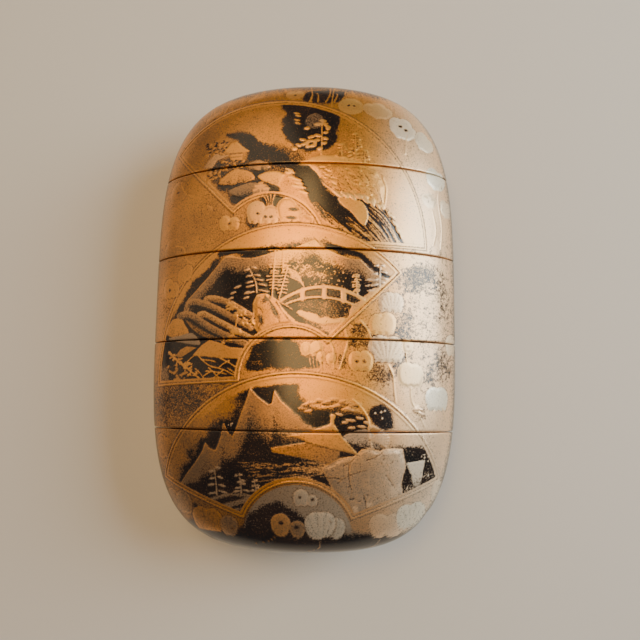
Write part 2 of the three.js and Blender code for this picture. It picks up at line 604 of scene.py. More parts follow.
def bloom(sheet, u, v, width, lobes, turn, foot, tone, silver, ribs, eyes):
    """A lobed bloom over a cup that narrows to its foot. turn leans it to the right."""
    patch = Patch(sheet, [(u - width * 0.7, v - width * 0.7), (u + width * 0.7, v + width * 0.7)])
    cosine, sine = math.cos(turn), math.sin(turn)
    x = ((patch.u - u) * cosine - (patch.v - v) * sine) / width
    y = ((patch.v - v) * cosine + (patch.u - u) * sine) / width
    crown = np.max([radius - np.hypot(x - across, y - up) for across, up, radius in CROWNS[lobes]], axis=0)
    drop = np.clip(-y / (0.1 + foot), 0, 1)
    scallop = 0.03 * np.cos(21 * x)
    cup = np.where((y < 0) & (drop < 1), 0.49 * (1 - drop**3.2) + scallop - np.abs(x), -1)
    cup = np.minimum(cup, (0.1 + foot) * (1 - drop) + scallop)
    patch.depth = np.maximum(crown, cup) * width
    lean = np.arctan2(x, y + 0.62)
    fold = 0.5 + 0.5 * np.cos(lean * 24)
    # A faint dark ring just outside the bloom: painted shadow of its raised edge.
    patch.cover = ease(patch.depth, -0.34, -0.08) * 0.35
    sheet.lay(patch, gold=0.4, tone=0.35, silver=0.0)
    patch.cover = ease(patch.depth, -EDGE, EDGE)
    # The tone grows lighter towards the top of the bloom and along its rim: painted highlight.
    shade = tone * (0.84 + 0.14 * ease(y, -0.3, 0.25)) + 0.07 * ease(patch.depth, 0.4, 0.1)
    full = FULL_GOLD - 0.42 * ribs * (1 - fold) ** 3
    sheet.lay(patch, gold=full, tone=shade - 0.12 * ribs * (1 - fold), silver=silver)
    sheet.lay(patch, lift=0.09 * ease(patch.depth, 0, 0.9) * (1 - 0.3 * ribs * (1 - fold)))
    for eye in range(eyes):
        side = (eye - (eyes - 1) / 2) * 0.21 * width
        place = (u + side * cosine - 0.08 * width * sine, v - side * sine - 0.08 * width * cosine)
        sheet.dab(*place, 0.07 * width, 0.05 * width, gold=0.12, silver=0.0, lift=0.04)


def domed(sheet, domes, base, tone, silver=0.0, ribs=0.0):
    """A flat bloom made of round domes that all end at the level of their scalloped base."""
    us, vs, radii = zip(*domes)
    reach = max(radii)
    patch = Patch(sheet, [(min(us) - reach, base), (max(us) + reach, max(vs) + reach)])
    drops = [np.where(patch.v < v, 0.62, 1.0) * (patch.v - v) for _, v, _ in domes]
    crowns = [radius - np.hypot(patch.u - u, drop) for (u, _, radius), drop in zip(domes, drops)]
    patch.depth = np.minimum(np.max(crowns, axis=0), patch.v - base - 0.12 * np.cos(patch.u * 5))
    # A faint dark ring just outside the bloom: painted shadow of its raised edge.
    patch.cover = ease(patch.depth, -0.3, -0.05) * 0.5
    sheet.lay(patch, gold=0.3, tone=0.3, silver=0.0)
    patch.cover = ease(patch.depth, -EDGE, EDGE)
    lean = np.arctan2(patch.u - np.mean(us), patch.v - base + 0.4 * reach)
    fold = ribs * (0.5 - 0.5 * np.cos(lean * 26)) ** 2
    # The tone is painted lighter along the rim: painted highlight.
    shade = tone + 0.1 * ease(patch.depth, 0.5, 0.1) - 0.14 * fold
    sheet.lay(patch, gold=FULL_GOLD - 0.3 * fold, tone=shade, silver=silver)
    sheet.lay(patch, lift=0.08 * ease(patch.depth, 0, 0.6) * (1 - 0.3 * fold))


def vine(sheet, points, width=0.28, tone=0.75):
    stem = sheet.line(curve(points), width, 0.5)
    sheet.lay(stem, gold=FULL_GOLD, tone=tone, silver=0.0, lift=0.08)


def leaf(sheet, u, v, size, turn, tone, silver=0.0):
    blade = sheet.pad(u, v, size / 2, size * 0.19, turn)
    sheet.lay(blade, gold=1.0, tone=tone, silver=silver, lift=0.07 + 0.07 * blade.along)


def tuft(sheet, u, v, count, spread_u, spread_v, size, tone):
    """Short needles and leaves strewn about a place."""
    for _ in range(count):
        du, dv = sheet.random.uniform(-1, 1, 2)
        turn = sheet.random.normal(0, 0.7)
        grown = size * sheet.random.uniform(0.7, 1.2)
        leaf(sheet, u + du * spread_u, v + dv * spread_v, grown, turn, tone)


def mottled(sheet, low, high, count, size=0.5):
    """Dark and light dabs that stand for thickets."""
    for n in range(count):
        u, v = sheet.random.uniform(low, high)
        dab = sheet.pad(u, v, size, size * 0.5, sheet.random.uniform(-0.7, 0.7))
        if n % 2:
            sheet.lay(dab, gold=0.2, tone=0.3, lift=0.0)
        else:
            sheet.lay(dab, gold=0.95, tone=0.62, lift=0.07)


def pine(sheet, u, v, height, tiers, spread, lean, tone, silver):
    """A tree with flat needle pads in tiers on both sides of its trunk."""
    trunk = curve([(u, v), (u + 0.2 * lean, v + 0.45 * height), (u + lean, v + height)])
    sheet.stroke(trunk, 0.28, 0.4, gold=1.0, tone=tone, silver=silver, lift=0.08)
    for tier in range(tiers):
        share_up = (tier + 0.7) / tiers
        at_u, at_v = trunk[int(share_up * (len(trunk) - 1))]
        reach = height * spread * (1 - 0.55 * share_up)
        for side in (-1, 1):
            wander = sheet.random.normal(0, 0.13, 2)
            place = (at_u + side * reach * 0.6 + wander[0], at_v + 0.16 * side + wander[1])
            needles = sheet.pad(*place, reach * 0.5, 0.2, -side * 0.2)
            sheet.lay(needles, gold=1.0, tone=tone, silver=silver, lift=0.12 * needles.along + 0.04)


def fir(sheet, u, v, height, half):
    """A feathery tree of small cushions, widening downwards."""
    for n in range(int(height * 5)):
        up = n / (height * 5)
        across = sheet.random.uniform(-1, 1) * half * (1 - up) ** 0.8
        place = (u + across, v + up * height - 0.25 * abs(across))
        shade = sheet.pad(place[0], place[1] - 0.3, 0.6, 0.2)
        sheet.lay(shade, gold=0.6, tone=0.4)
        cushion = sheet.pad(*place, 0.55, 0.26, -0.3 * np.sign(across))
        sheet.lay(cushion, gold=1.0, tone=0.84, lift=0.09)
    sheet.stroke([(u, v), (u, v + height + 0.2)], 0.24, 0.5, gold=1.0, tone=0.86, lift=0.09)


def cedar(sheet, u, v, height, rungs, reach, lean, tone):
    """A tall tree with short level boughs, set close like the rungs of a ladder."""
    sheet.stroke([(u, v), (u + lean, v + height)], 0.3, 0.3, gold=1.0, tone=tone, lift=0.1)
    for rung in range(rungs):
        share_up = 0.2 + 0.8 * rung / (rungs - 1)
        middle = (u + lean * share_up, v + height * share_up)
        left, right = reach * sheet.random.uniform(0.35, 1.0, 2)
        droop = sheet.random.uniform(0.0, 0.22)
        bough = [(middle[0] - left, middle[1] - droop), middle, (middle[0] + right, middle[1] - droop)]
        sheet.stroke(curve(bough, steps=3), 0.25, gold=1.0, tone=tone, lift=0.1)


def hill(sheet, outline, tone, fade, silver=0.0):
    """Raised land, bright along its skyline and dissolving by the given depth below it."""
    land = sheet.area(curve(outline, True, 4))
    ordered = sorted((p[0], p[1]) for p in outline)
    crest = np.interp(land.u, [p[0] for p in ordered], [p[1] for p in ordered])
    down = np.clip((np.maximum(crest, max(p[1] for p in outline) - 1.2) - land.v) / fade, 0, 1)
    sheet.lay(land, gold=FULL_GOLD - 0.75 * down**2, tone=tone * (1.08 - 0.3 * down), silver=silver)
    sheet.lay(land, lift=0.1 * (1 - 0.7 * down))


def mountains(sheet, skyline, depth, tone, silver=0.0, gold=FULL_GOLD, feather=0.1):
    """The land under a skyline, which dissolves downwards by the given depth."""
    floor = min(p[1] for p in skyline) - depth
    land = sheet.area([*skyline, (skyline[-1][0], floor), (skyline[0][0], floor)])
    crest = np.interp(land.u, [p[0] for p in skyline], [p[1] for p in skyline])
    down = np.clip((crest - land.v) / depth, 0, 1)
    from_ends = np.minimum(land.u - skyline[0][0], skyline[-1][0] - land.u)
    land.cover = land.cover * ease(from_ends, 0, feather)
    speckle = sheet.of(sheet.mottle, land) - 0.5
    sheet.lay(land, gold=np.clip(gold - 0.95 * down**1.8 + 0.3 * speckle * down, 0, 1))
    sheet.lay(land, tone=tone * (1.06 - 0.25 * down), silver=silver, lift=0.06 * (1 - down))
    edge = sheet.line(skyline, 0.2)
    sheet.lay(edge, gold=1.0, tone=min(tone + 0.22, 1), silver=silver * 0.5, lift=0.1)


def long_ridge(sheet, points, width, tone):
    """A long rounded ridge with a light back, streaked flanks whose streaks grow lighter towards its upper
    side as a painted highlight, and a dark groove under it.
    """
    spine = curve(points)
    groove = [(u - 0.1, v - 0.3) for u, v in spine]
    sheet.stroke(groove, width + 0.4, 0.1, 0.15, gold=0.08, tone=0.2, lift=0.0)
    body = sheet.line(spine, width, 0.15, 0.12)
    sheet.lay(body, gold=0.66 + 0.3 * ease(body.depth, 0.5, 0.0), tone=tone, silver=0.08, lift=0.05)
    # The streaks grow lighter and fuller in gold towards the upper side: painted highlight.
    for n in range(6):
        offset = (n / 5 - 0.5) * 0.8 * width
        streak = [(u, v + offset) for u, v in spine[1 + n % 4 :]]
        sheet.stroke(streak, 0.16, 0.5, 0.1, gold=0.35 + 0.12 * n, tone=tone * (0.7 + 0.14 * n))


def arch(left, right, rise):
    """A shallow arch from one foot to the other."""
    shares = np.linspace(0, 1, 15)
    return [
        (left[0] + (right[0] - left[0]) * t, left[1] + (right[1] - left[1]) * t + rise * 4 * t * (1 - t))
        for t in shares
    ]


def bridge(sheet, rail, deck, posts):
    """An arched bridge: a broad rail over a deck, and wide posts between them."""
    sheet.fill([*rail, *reversed(deck)], gold=0.2, tone=0.3)
    for line, width in ((rail, 0.66), (deck, 0.46)):
        sheet.stroke(line, width, gold=1.0, tone=0.9, lift=0.1)
    for u in posts:
        low, high = (np.interp(u, *zip(*line)) for line in (deck, rail))
        sheet.stroke([(u, low), (u, high)], 0.9, gold=1.0, tone=0.78, lift=0.08)


def rock(sheet, outline, cracks, tone, silver, lift):
    """A raised boulder with dark cracks, and beside each crack a light line offset up and to the right as a
    painted highlight.
    """
    stone = sheet.area(outline, EDGE, 0.15)
    rough = sheet.of(sheet.grain, stone) * 0.4 + sheet.of(sheet.mottle, stone) * 0.6
    sheet.lay(stone, gold=0.98 - 0.16 * rough, tone=tone * (0.82 + 0.3 * rough), silver=silver)
    sheet.lay(stone, lift=lift * ease(stone.depth, 0, 0.9) + 0.05 * rough)
    sheet.stroke([*outline, outline[0]], 0.22, gold=1.0, tone=tone + 0.2)
    for crack in cracks:
        vein = curve(crack)
        sheet.stroke(vein, 0.24, 0.4, gold=0.32, tone=0.25, silver=0.0, lift=0.08)
        # Painted highlight: a light line beside the crack, offset up and to the right.
        light = [(u + 0.15, v + 0.2) for u, v in vein]
        sheet.stroke(light, 0.14, 0.5, gold=1.0, tone=tone + 0.2, lift=lift)


def ripples(sheet, low, high, count, slope=0.0, reach=(1.0, 4.0), tone=0.6):
    """Fine near-level lines scattered over a stretch of water."""
    for _ in range(count):
        u, v = sheet.random.uniform(low, high)
        half = sheet.random.uniform(*reach) / 2
        sway = sheet.random.normal(0, 0.1)
        wave = [(u - half, v - half * slope), (u, v + sway), (u + half, v + half * slope)]
        sheet.stroke(curve(wave, steps=4), 0.13, 0.4, gold=0.8, tone=tone)


def streams(sheet, left, right, count, side, run, width=0.14, tone=0.7, reach=0.2):
    """Fine lines that follow two banks, between the given shares across and along."""
    left, right = (np.array(curve(bank, steps=8)) for bank in (left, right))
    for _ in range(count):
        across, start = sheet.random.uniform((side[0], run[0]), (side[1], run[1]))
        span = reach * sheet.random.uniform(0.4, 1.3)
        places = np.linspace(start, min(start + span, 1), 5) * (len(left) - 1)
        low = np.minimum(places.astype(int), len(left) - 2)
        part = (places - low)[:, None]
        ends = [bank[low] * (1 - part) + bank[low + 1] * part for bank in (left, right)]
        sheet.stroke(ends[0] * (1 - across) + ends[1] * across, width, 0.3, gold=0.92, tone=tone, lift=0.03)


def stars(sheet, u, v, count, spread=0.9, silver=0.8, size=0.16):
    """A few bright inlaid grains."""
    for _ in range(count):
        du, dv = sheet.random.normal(0, spread, 2)
        sheet.dab(u + du, v + dv * 0.6, size, size, gold=1.0, tone=0.95, silver=silver, lift=0.04)


def grains(sheet, low, high, count):
    """Single coarse grains of gold strewn over a rectangle."""
    for _ in range(count):
        u, v = sheet.random.uniform(low, high)
        size = sheet.random.uniform(0.07, 0.13)
        sheet.dab(u, v, size, size, gold=1.0, tone=0.95, lift=0.02)


def worn(sheet, u, v, half_u, half_v, depth, turn=0.0):
    """Gold rubbed away in specks over an oval."""
    patch = sheet.pad(u, v, half_u * 1.4, half_v * 1.4, turn)
    speckle = 0.6 * sheet.of(sheet.grain, patch) + 0.4 * sheet.of(sheet.mottle, patch) - 0.5
    patch.cover = ease(patch.along**1.5 * depth + 1.1 * speckle, 0.1, 0.9) * 0.8
    sheet.lay(patch, gold=0.2, silver=0.0, lift=0.0)


class Fan:
    """An open folding fan: the band between two arcs, from one stick's angle to another's."""

    def __init__(self, sheet, hub, outer, inner, start, end):
        self.sheet, self.hub, self.outer = sheet, hub, outer
        du, dv = sheet.whole.u - hub[0], sheet.whole.v - hub[1]
        self.out = np.hypot(du, dv)
        angle = np.arctan2(dv, du)
        angle = np.where(angle < -math.pi / 2, angle + 2 * math.pi, angle)
        self.angle = np.degrees(angle)
        from_start = self.out * np.sin(np.clip(angle - math.radians(start), -1.57, 1.57))
        from_end = self.out * np.sin(np.clip(math.radians(end) - angle, -1.57, 1.57))
        sides = np.minimum(from_start, from_end)
        self.depth = np.minimum(np.minimum(outer - self.out, self.out - inner), sides)

    def open(self, **ground):
        """Clears the fan's leaf to a ground and keeps what follows inside its border. A thin dark ring just
        outside the border is painted shadow of the raised border.
        """
        everywhere = self.sheet.whole
        # Painted shadow: a thin dark ring just outside the raised border.
        everywhere.cover = ease(self.depth, -0.35, -0.1)
        self.sheet.lay(everywhere, gold=0.45, tone=0.3, silver=0.0, lift=0.0)
        self.sheet.mask = ease(self.depth, 0.0, 0.15)
        everywhere.cover = self.sheet.mask
        self.sheet.lay(everywhere, **ground)

    def band(self, low, high, **amounts):
        """Fills between two distances from the border."""
        everywhere = self.sheet.whole
        everywhere.cover = ease(self.depth, low - EDGE, low + EDGE) * ease(
            self.depth, high + EDGE, high - EDGE,
        )
        self.sheet.lay(everywhere, **amounts)

    def glow(self, width, low, high, tone=0.72):
        """Powder that gathers under the outer arc between two angles and dissolves inwards."""
        everywhere = self.sheet.whole
        inwards = (self.outer - self.out) / width
        sweep = ease(self.angle, low - 9, low + 1) * ease(self.angle, high + 9, high - 1)
        stray = 0.35 * (self.sheet.mottle - 0.5) + 0.2 * (self.sheet.grain - 0.5)
        everywhere.cover = ease(1.2 - inwards - stray, 0, 0.45) * sweep
        self.sheet.lay(everywhere, gold=FULL_GOLD, tone=tone, silver=0.0, lift=0.0)

    def close(self):
        """Lays the raised border: a ridge, a narrow groove painted dark as shade and a fine inner line, with
        a dark line of painted shadow just outside.
        """
        self.sheet.mask = np.ones_like(self.sheet.mask)
        self.band(0.0, 0.95, gold=FULL_GOLD, tone=0.66, silver=0.0, lift=0.02)
        self.band(0.0, 0.36, gold=1.0, tone=0.78, lift=0.12)
        # The groove beside the ridge is painted dark: painted shade.
        self.band(0.36, 0.52, gold=0.45, tone=0.34, lift=0.0)
        self.band(0.80, 0.95, gold=1.0, tone=0.74, lift=0.06)
        # A dark line just outside the ridge: painted shadow.
        self.band(-0.14, 0.0, gold=0.6, tone=0.4)


def paint_ground(sheet):
    """The gold ground between the fans, black at the foot and duller at the head."""
    everywhere = sheet.whole
    everywhere.cover = np.ones_like(sheet.mask)
    sheet.lay(everywhere, gold=0.9 + 0.16 * (sheet.cloud - 0.5) + 0.12 * (sheet.mottle - 0.5))
    sheet.lay(everywhere, tone=0.56 + 0.14 * (sheet.cloud - 0.5))
    stray = 1.6 * (sheet.mottle - 0.5) + 2.0 * (sheet.cloud - 0.5)
    everywhere.cover = ease(everywhere.v + stray, -40.4, -42.6)
    sheet.lay(everywhere, gold=0.03, tone=0.2)
    everywhere.cover = ease(everywhere.v + stray + 0.0025 * everywhere.u**2, 42.8, 45.4)
    sheet.lay(everywhere, gold=0.4, tone=0.38)
    worn(sheet, -21.5, -18.4, 11.0, 4.2, 0.8)
    worn(sheet, -19.5, -17.6, 3.0, 2.0, 0.8)
    worn(sheet, -28.0, 1.0, 3.0, 4.0, 0.4)
    worn(sheet, 25.0, -1.0, 9.0, 13.0, 0.42)


def paint_upper_ground(sheet):
    """Blooms and grasses round the first fan."""
    head = sheet.area(curve([(0.4, 40.4), (1.4, 43.6), (8.4, 43.8), (7.4, 40.6), (5.0, 39.9)], True), 0.4)
    sheet.lay(head, gold=0.12, tone=0.25)
    for n in range(30):
        u = -20 + 1.45 * n + sheet.random.normal(0, 0.4)
        v = 40.4 - 0.004 * u * u
        tip = (u + sheet.random.normal(-0.4, 1.0), v + sheet.random.uniform(2.5, 6.0))
        stalk = curve([(u, v), ((u + tip[0]) / 2 + 0.3, v + 2), tip])
        sheet.stroke(stalk, 0.32, 0.6, gold=0.95, tone=0.7, lift=0.06)
    for u, v, width, lobes, turn, foot, tone, silver, ribs, eyes in (
        (9.7, 40.0, 5.2, 1, 0.0, 0.14, 0.94, 0.05, 0.0, 2),
        (15.2, 39.4, 6.4, 3, 0.2, 0.3, 0.94, 0.12, 0.0, 0),
        (20.6, 36.0, 6.6, 3, 0.5, 0.4, 0.90, 0.65, 0.0, 2),
        (25.6, 33.6, 5.2, 2, 0.7, 0.4, 0.90, 0.65, 0.2, 0),
        (28.0, 26.0, 5.6, 2, 0.3, 0.4, 0.95, 0.95, 0.2, 0),
        (26.0, 21.2, 3.8, 3, 0.2, 0.4, 0.82, 0.30, 0.0, 0),
        (30.6, 20.4, 4.0, 2, 0.2, 0.5, 0.84, 0.45, 0.2, 0),
        (-1.4, 42.6, 3.8, 2, 0.0, 0.3, 0.80, 0.05, 0.0, 1),
        (-9.4, 42.0, 4.0, 3, -0.2, 0.3, 0.64, 0.0, 0.0, 0),
        (-18.6, 38.6, 4.2, 2, -0.5, 0.4, 0.58, 0.0, 0.0, 1),
        (-26.2, 23.6, 5.6, 1, -0.3, 0.14, 0.58, 0.0, 0.0, 1),
        (-27.0, 12.0, 5.4, 1, -0.3, 0.14, 0.56, 0.0, 0.0, 0),
        (-18.2, 18.6, 2.6, 3, -0.1, 0.35, 0.62, 0.0, 0.0, 1),
    ):
        bloom(sheet, u, v, width, lobes, turn, foot, tone, silver, ribs, eyes)
    domed(sheet, [(-14.2, 15.7, 1.2), (-12.3, 15.3, 1.2)], 13.9, 0.74)
    sheet.dab(-13.2, 15.2, 0.4, 0.26, 0, 0.2, gold=0.3, tone=0.3)
    for points in (
        [(28.6, 11.5), (29.0, 16), (28.2, 21), (28.6, 24)],
        [(20.6, 29.8), (20.8, 32), (21.2, 34)],
        [(26.6, 12), (27.4, 15), (26.6, 19)],
        [(5.8, 38.6), (6.0, 42), (6.3, 46)],
        [(-25.6, 12.0), (-23.6, 11.4), (-22.6, 9), (-20.8, 7.8)],
        [(-25.4, 25.0), (-23.8, 22.6), (-21.4, 21.6)],
    ):
        vine(sheet, points)


def paint_first_fan(sheet):
    """A river that runs between a village and a rocky shore, under a dark sky with the moon."""
    fan = Fan(sheet, (-5.5, 10.3), 30.5, 9.8, 1.0, 136.0)
    fan.open(gold=0.93 + 0.16 * (sheet.mottle - 0.5), tone=0.56 + 0.2 * (sheet.cloud - 0.5), lift=0.0)
    sky = [
        (-3.3, 40.0), (-2.5, 37.0), (-3.6, 35.4), (-2.6, 32.2), (-0.6, 29.6), (5.4, 29.6), (7.3, 34.4),
        (6.6, 39.4),
    ]
    sheet.fill(curve(sky, True), 0.45, 0.7, **BARE)
    haze = [(-6.0, 29.8), (-2.0, 29.8), (0.8, 28.6), (0.6, 26.2), (-4.0, 26.0)]
    sheet.fill(curve(haze, True), 1.1, 0.8, gold=0.40, tone=0.4)
    upper = [
        (-15.0, 33.8), (-11.6, 33.9), (-8.4, 32.2), (-5.0, 29.6), (-2.4, 28.0), (-1.6, 26.0), (-4.4, 25.0),
    ]
    upper += [(-8.0, 23.8), (-10.4, 27.4), (-10.4, 29.8), (-12.6, 32.0)]
    sheet.fill(curve(upper, True), 0.5, 0.7, gold=0.07, tone=0.25)
    lower = [(-3.6, 26.6), (2.2, 26.6), (3.6, 24.4), (5.0, 21.9), (7.2, 20.0), (13.0, 19.6), (16.4, 18.7)]
    lower += [
        (18.6, 15.4), (20.4, 10.6), (13.0, 10.6), (8.0, 12.8), (4.6, 15.8), (2.2, 19.2), (0.4, 22.4),
        (-2.2, 24.6),
    ]
    sheet.fill(lower, 0.16, 0.3, gold=0.05, tone=0.22)
    left_bank = [(0.4, 22.6), (2.0, 19.4), (4.4, 16.0), (8.0, 12.9), (13.0, 10.4)]
    right_bank = [(4.2, 23.4), (7.8, 20.2), (13.2, 19.4), (17.4, 16.4), (20.2, 10.8)]
    streams(sheet, left_bank, right_bank, 26, (0.0, 0.16), (0.3, 0.95), 0.11)
    streams(sheet, left_bank, right_bank, 44, (0.14, 0.62), (0.6, 0.97), 0.11, 0.76)
    streams(sheet, left_bank, right_bank, 34, (0.6, 0.97), (0.5, 0.95), 0.14, 0.84)
    paint_moon_and_pines(sheet)
    paint_village(sheet)
    paint_rocky_shore(sheet)
    fan.close()


def paint_moon_and_pines(sheet):
    """The moon behind an old pine, and the firs on a low shore."""
    sheet.dab(2.7, 35.6, 1.75, 1.8, gold=0.48, tone=0.30, silver=0.12, lift=0.04)
    for u, v in ((-0.8, 37.4), (-0.5, 36.8), (-0.7, 35.8), (-0.5, 35.1)):
        sheet.dab(u, v, 0.62, 0.2, -0.3, gold=1.0, tone=0.85, lift=0.08)
    sheet.stroke(curve([(4.2, 28.4), (4.2, 31.6), (4.1, 35.0)]), 0.26, gold=1.0, tone=0.85, lift=0.08)
    for u, v, half in (
        (4.3, 35.6, 0.7), (5.2, 34.3, 0.7), (3.4, 34.8, 0.7), (4.5, 34.9, 0.8), (1.3, 33.9, 0.6),
        (2.2, 32.0, 0.7), (3.4, 32.3, 0.7), (0.6, 31.4, 0.7), (1.9, 31.1, 0.8), (3.2, 31.3, 0.7),
        (4.9, 31.7, 0.6), (1.0, 30.5, 0.8), (2.6, 30.2, 0.7), (-0.2, 30.3, 0.6), (4.7, 30.7, 0.5),
        (3.9, 29.6, 0.6), (-0.9, 29.6, 0.5), (4.9, 33.0, 0.5), (5.3, 33.8, 0.4), (1.6, 30.0, 0.5),
        (2.9, 30.8, 0.4),
    ):
        cushion = sheet.pad(u, v, half, 0.34, sheet.random.normal(-0.1, 0.25))
        sheet.lay(cushion, gold=1.0, tone=0.84, lift=0.09)
    fir(sheet, 10.6, 27.0, 6.2, 2.0)
    fir(sheet, 8.0, 27.2, 3.6, 1.7)
    fir(sheet, 12.4, 26.8, 3.0, 1.0)
    shore = [(0.4, 26.3), (1.6, 27.2), (4.0, 28.1), (8.0, 27.9), (12.0, 27.2), (16, 26.4), (8, 26.1)]
    sheet.fill(curve(shore, True), 0.2, 0.2, gold=1.0, tone=0.95, lift=0.04)


def paint_village(sheet):
    """Roofs, thickets and rounded banks on the left shore."""
    gloom = [
        (-18.4, 28.4), (-12, 28.4), (-8.0, 27.6), (-3.8, 26.4), (-1.0, 24.0), (-2.0, 21.4), (-5.4, 19.8),
        (-11, 18.9),
    ]
    dusk = sheet.area(curve([*gloom, (-15.6, 22.4)], True), 0.6, 0.9)
    sheet.lay(dusk, gold=0.36, tone=0.34, lift=0.0)
    mottled(sheet, (-19.4, 29.6), (-14.4, 32.6), 60, 0.4)
    mottled(sheet, (-18.6, 24.2), (-15.2, 28.0), 44, 0.4)
    mottled(sheet, (-15.4, 26.1), (-9.6, 27.9), 44, 0.34)
    roof = [
        (-19.7, 27.2), (-18.4, 29.0), (-16.8, 29.9), (-15.8, 29.3), (-13.8, 29.2), (-16.6, 28.4),
        (-17.6, 26.9),
    ]
    sheet.fill(roof, gold=0.92, tone=0.62, silver=0.15, lift=0.06)
    gable = [
        (-15.0, 30.1), (-13.8, 31.8), (-12.6, 32.0), (-11.4, 30.9), (-9.9, 29.6), (-11.2, 29.4),
        (-11.1, 27.8),
    ]
    sheet.fill([*gable, (-13.6, 28.1), (-14.0, 29.4)], gold=0.98, tone=0.70, lift=0.07)
    sheet.stroke([(-13.9, 29.4), (-11.2, 29.3)], 0.3, 0.3, gold=0.4, tone=0.35)
    sheet.stroke([(-13.7, 28.6), (-11.2, 28.5)], 0.18, 0.3, gold=0.5, tone=0.4)
    eave = sheet.line(curve([(-12.7, 31.9), (-11.4, 30.7), (-9.9, 29.6)]), 0.2)
    sheet.lay(eave, gold=1.0, tone=0.92, lift=0.09)
    for level, left, right in ((22.9, -15.4, -8.4), (19.9, -12.6, -7.6), (21.6, -6.0, -3.0)):
        sheet.stroke([(left, level), (right, level - 0.2)], 1.6, 0.2, 0.6, gold=0.1, tone=0.25)
    notch = [(-9.0, 25.6), (-8.7, 24.2), (-7.6, 23.6), (-6.6, 25.2), (-6.0, 26.4)]
    sheet.fill(notch, 0.15, gold=0.05, tone=0.25)
    hill(sheet, [(-9.9, 26.3), (-9.0, 27.3), (-7.2, 27.4), (-5.5, 26.0), (-8.0, 25.4)], 0.36, 2.0, 0.1)
    hill(
        sheet, [(-16.0, 23.4), (-13.7, 25.6), (-12.0, 26.0), (-9.2, 25.1), (-8.7, 23.7), (-12.0, 22.9)],
        0.62, 3.0,
    )
    hill(sheet, [(-13.8, 21.4), (-11.6, 22.5), (-8.8, 23.0), (-5.4, 21.8), (-8.6, 19.6)], 0.32, 2.4, 0.1)
    hill(
        sheet, [(-7.7, 23.8), (-6.4, 24.9), (-4.0, 25.0), (-2.0, 24.0), (1.0, 22.4), (-2.0, 21.4)], 0.78,
        4.2,
    )
    slope = [
        (-2.8, 24.3), (-0.4, 23.6), (0.4, 21.4), (1.6, 18.8), (4.0, 15.2), (3.2, 14.0), (0.4, 17.4),
        (-3.4, 20.6),
    ]
    sheet.fill(curve(slope, True), 0.3, 0.35, gold=0.9, tone=0.62, lift=0.04)
    for u, v, half in (
        (-7.2, 22.8, 0.5), (-6.6, 22.3, 0.6), (-7.9, 22.2, 0.6), (-7.2, 21.8, 0.7), (-6.2, 21.6, 0.5),
        (-8.3, 21.5, 0.5),
    ):
        sheet.dab(u, v, half, 0.26, gold=1.0, tone=0.72, lift=0.08)
    sheet.stroke([(-7.2, 22.4), (-7.2, 20.4)], 0.24, gold=1.0, tone=0.72, lift=0.07)
    for u, v, half in (
        (-1.8, 25.3, 0.8), (-2.1, 24.7, 0.6), (-1.4, 24.8, 0.7), (-0.2, 23.3, 0.9), (0.0, 22.6, 0.8),
        (0.6, 21.8, 0.9), (-0.6, 22.0, 0.8), (1.0, 20.8, 0.9), (-1.4, 23.8, 0.7),
    ):
        sheet.dab(u, v, half, 0.22, -0.3, gold=1.0, tone=0.93, lift=0.08)


def paint_rocky_shore(sheet):
    """Gold crags on the right shore, with spray and rushes at their foot."""
    crag = [
        (1.5, 26.6), (6, 26.6), (11, 26.4), (14.6, 25.2), (16.2, 22.6), (16.0, 19.0), (13.2, 19.9),
        (10.6, 20.8),
    ]
    crag += [(8.4, 20.5), (6.6, 21.0), (4.8, 22.4), (3.5, 24.5)]
    cracks = [
        [(4.2, 23.4), (5.2, 22.2), (7.4, 21.2), (9.4, 20.4)],
        [(8.8, 23.4), (9.6, 22.0), (10.3, 20.8)],
        [(12.2, 24.8), (13.2, 23.4), (13.6, 21.2)],
        [(7.4, 22.6), (8.0, 21.2)],
        [(14.2, 22.4), (15.2, 21.0), (15.8, 19.2)],
    ]
    rock(sheet, crag, cracks, 0.64, 0.0, 0.08)
    crest, foot = [(2.6, 26.2), (8.0, 26.2), (14.0, 25.0)], [(4.6, 22.6), (8.6, 21.0), (15.4, 20.0)]
    streams(sheet, crest, foot, 26, (0.05, 0.95), (0.0, 0.9), 0.3, 0.78, 0.05)
    for n in range(80):
        u, v = sheet.random.uniform((4.6, 21.2), (15.2, 25.6))
        blade = [(u, v), (u + 0.7, v - 0.5), (u + 1.3, v - 1.2)]
        sheet.stroke(blade, 0.16, 0.5, gold=0.72 + 0.28 * (n % 2), tone=0.42 + 0.46 * (n % 2))
    tongue = [
        (7.6, 19.8), (11.4, 19.3), (12.5, 18.2), (12.9, 16.4), (12.4, 14.7), (11.2, 15.5), (9.8, 17.1),
        (8.0, 18.5),
    ]
    sheet.fill(curve(tongue, True), 0.1, gold=1.0, tone=0.72, lift=0.06)
    sheet.stroke(curve(tongue[1:5]), 0.22, gold=1.0, tone=0.95, lift=0.1)
    for n in range(30):
        along = n / 29
        u = 7.0 + 12.6 * along + sheet.random.normal(0, 0.2)
        v = np.interp(
            u, (7, 10.6, 13, 16.6, 18.4, 20), (20.4, 20.3, 19.4, 18.2, 15.4, 11.8),
        ) + sheet.random.normal(0, 0.25)
        leaf(sheet, u, v, 1.5, -0.5 - 0.5 * along + sheet.random.normal(0, 0.15), 0.88, 0.1)
    # A bright line along the crag's right edge: painted highlight.
    vine(sheet, [(15.9, 24.4), (16.6, 22.0), (16.3, 18.8)], 0.24, 0.8)


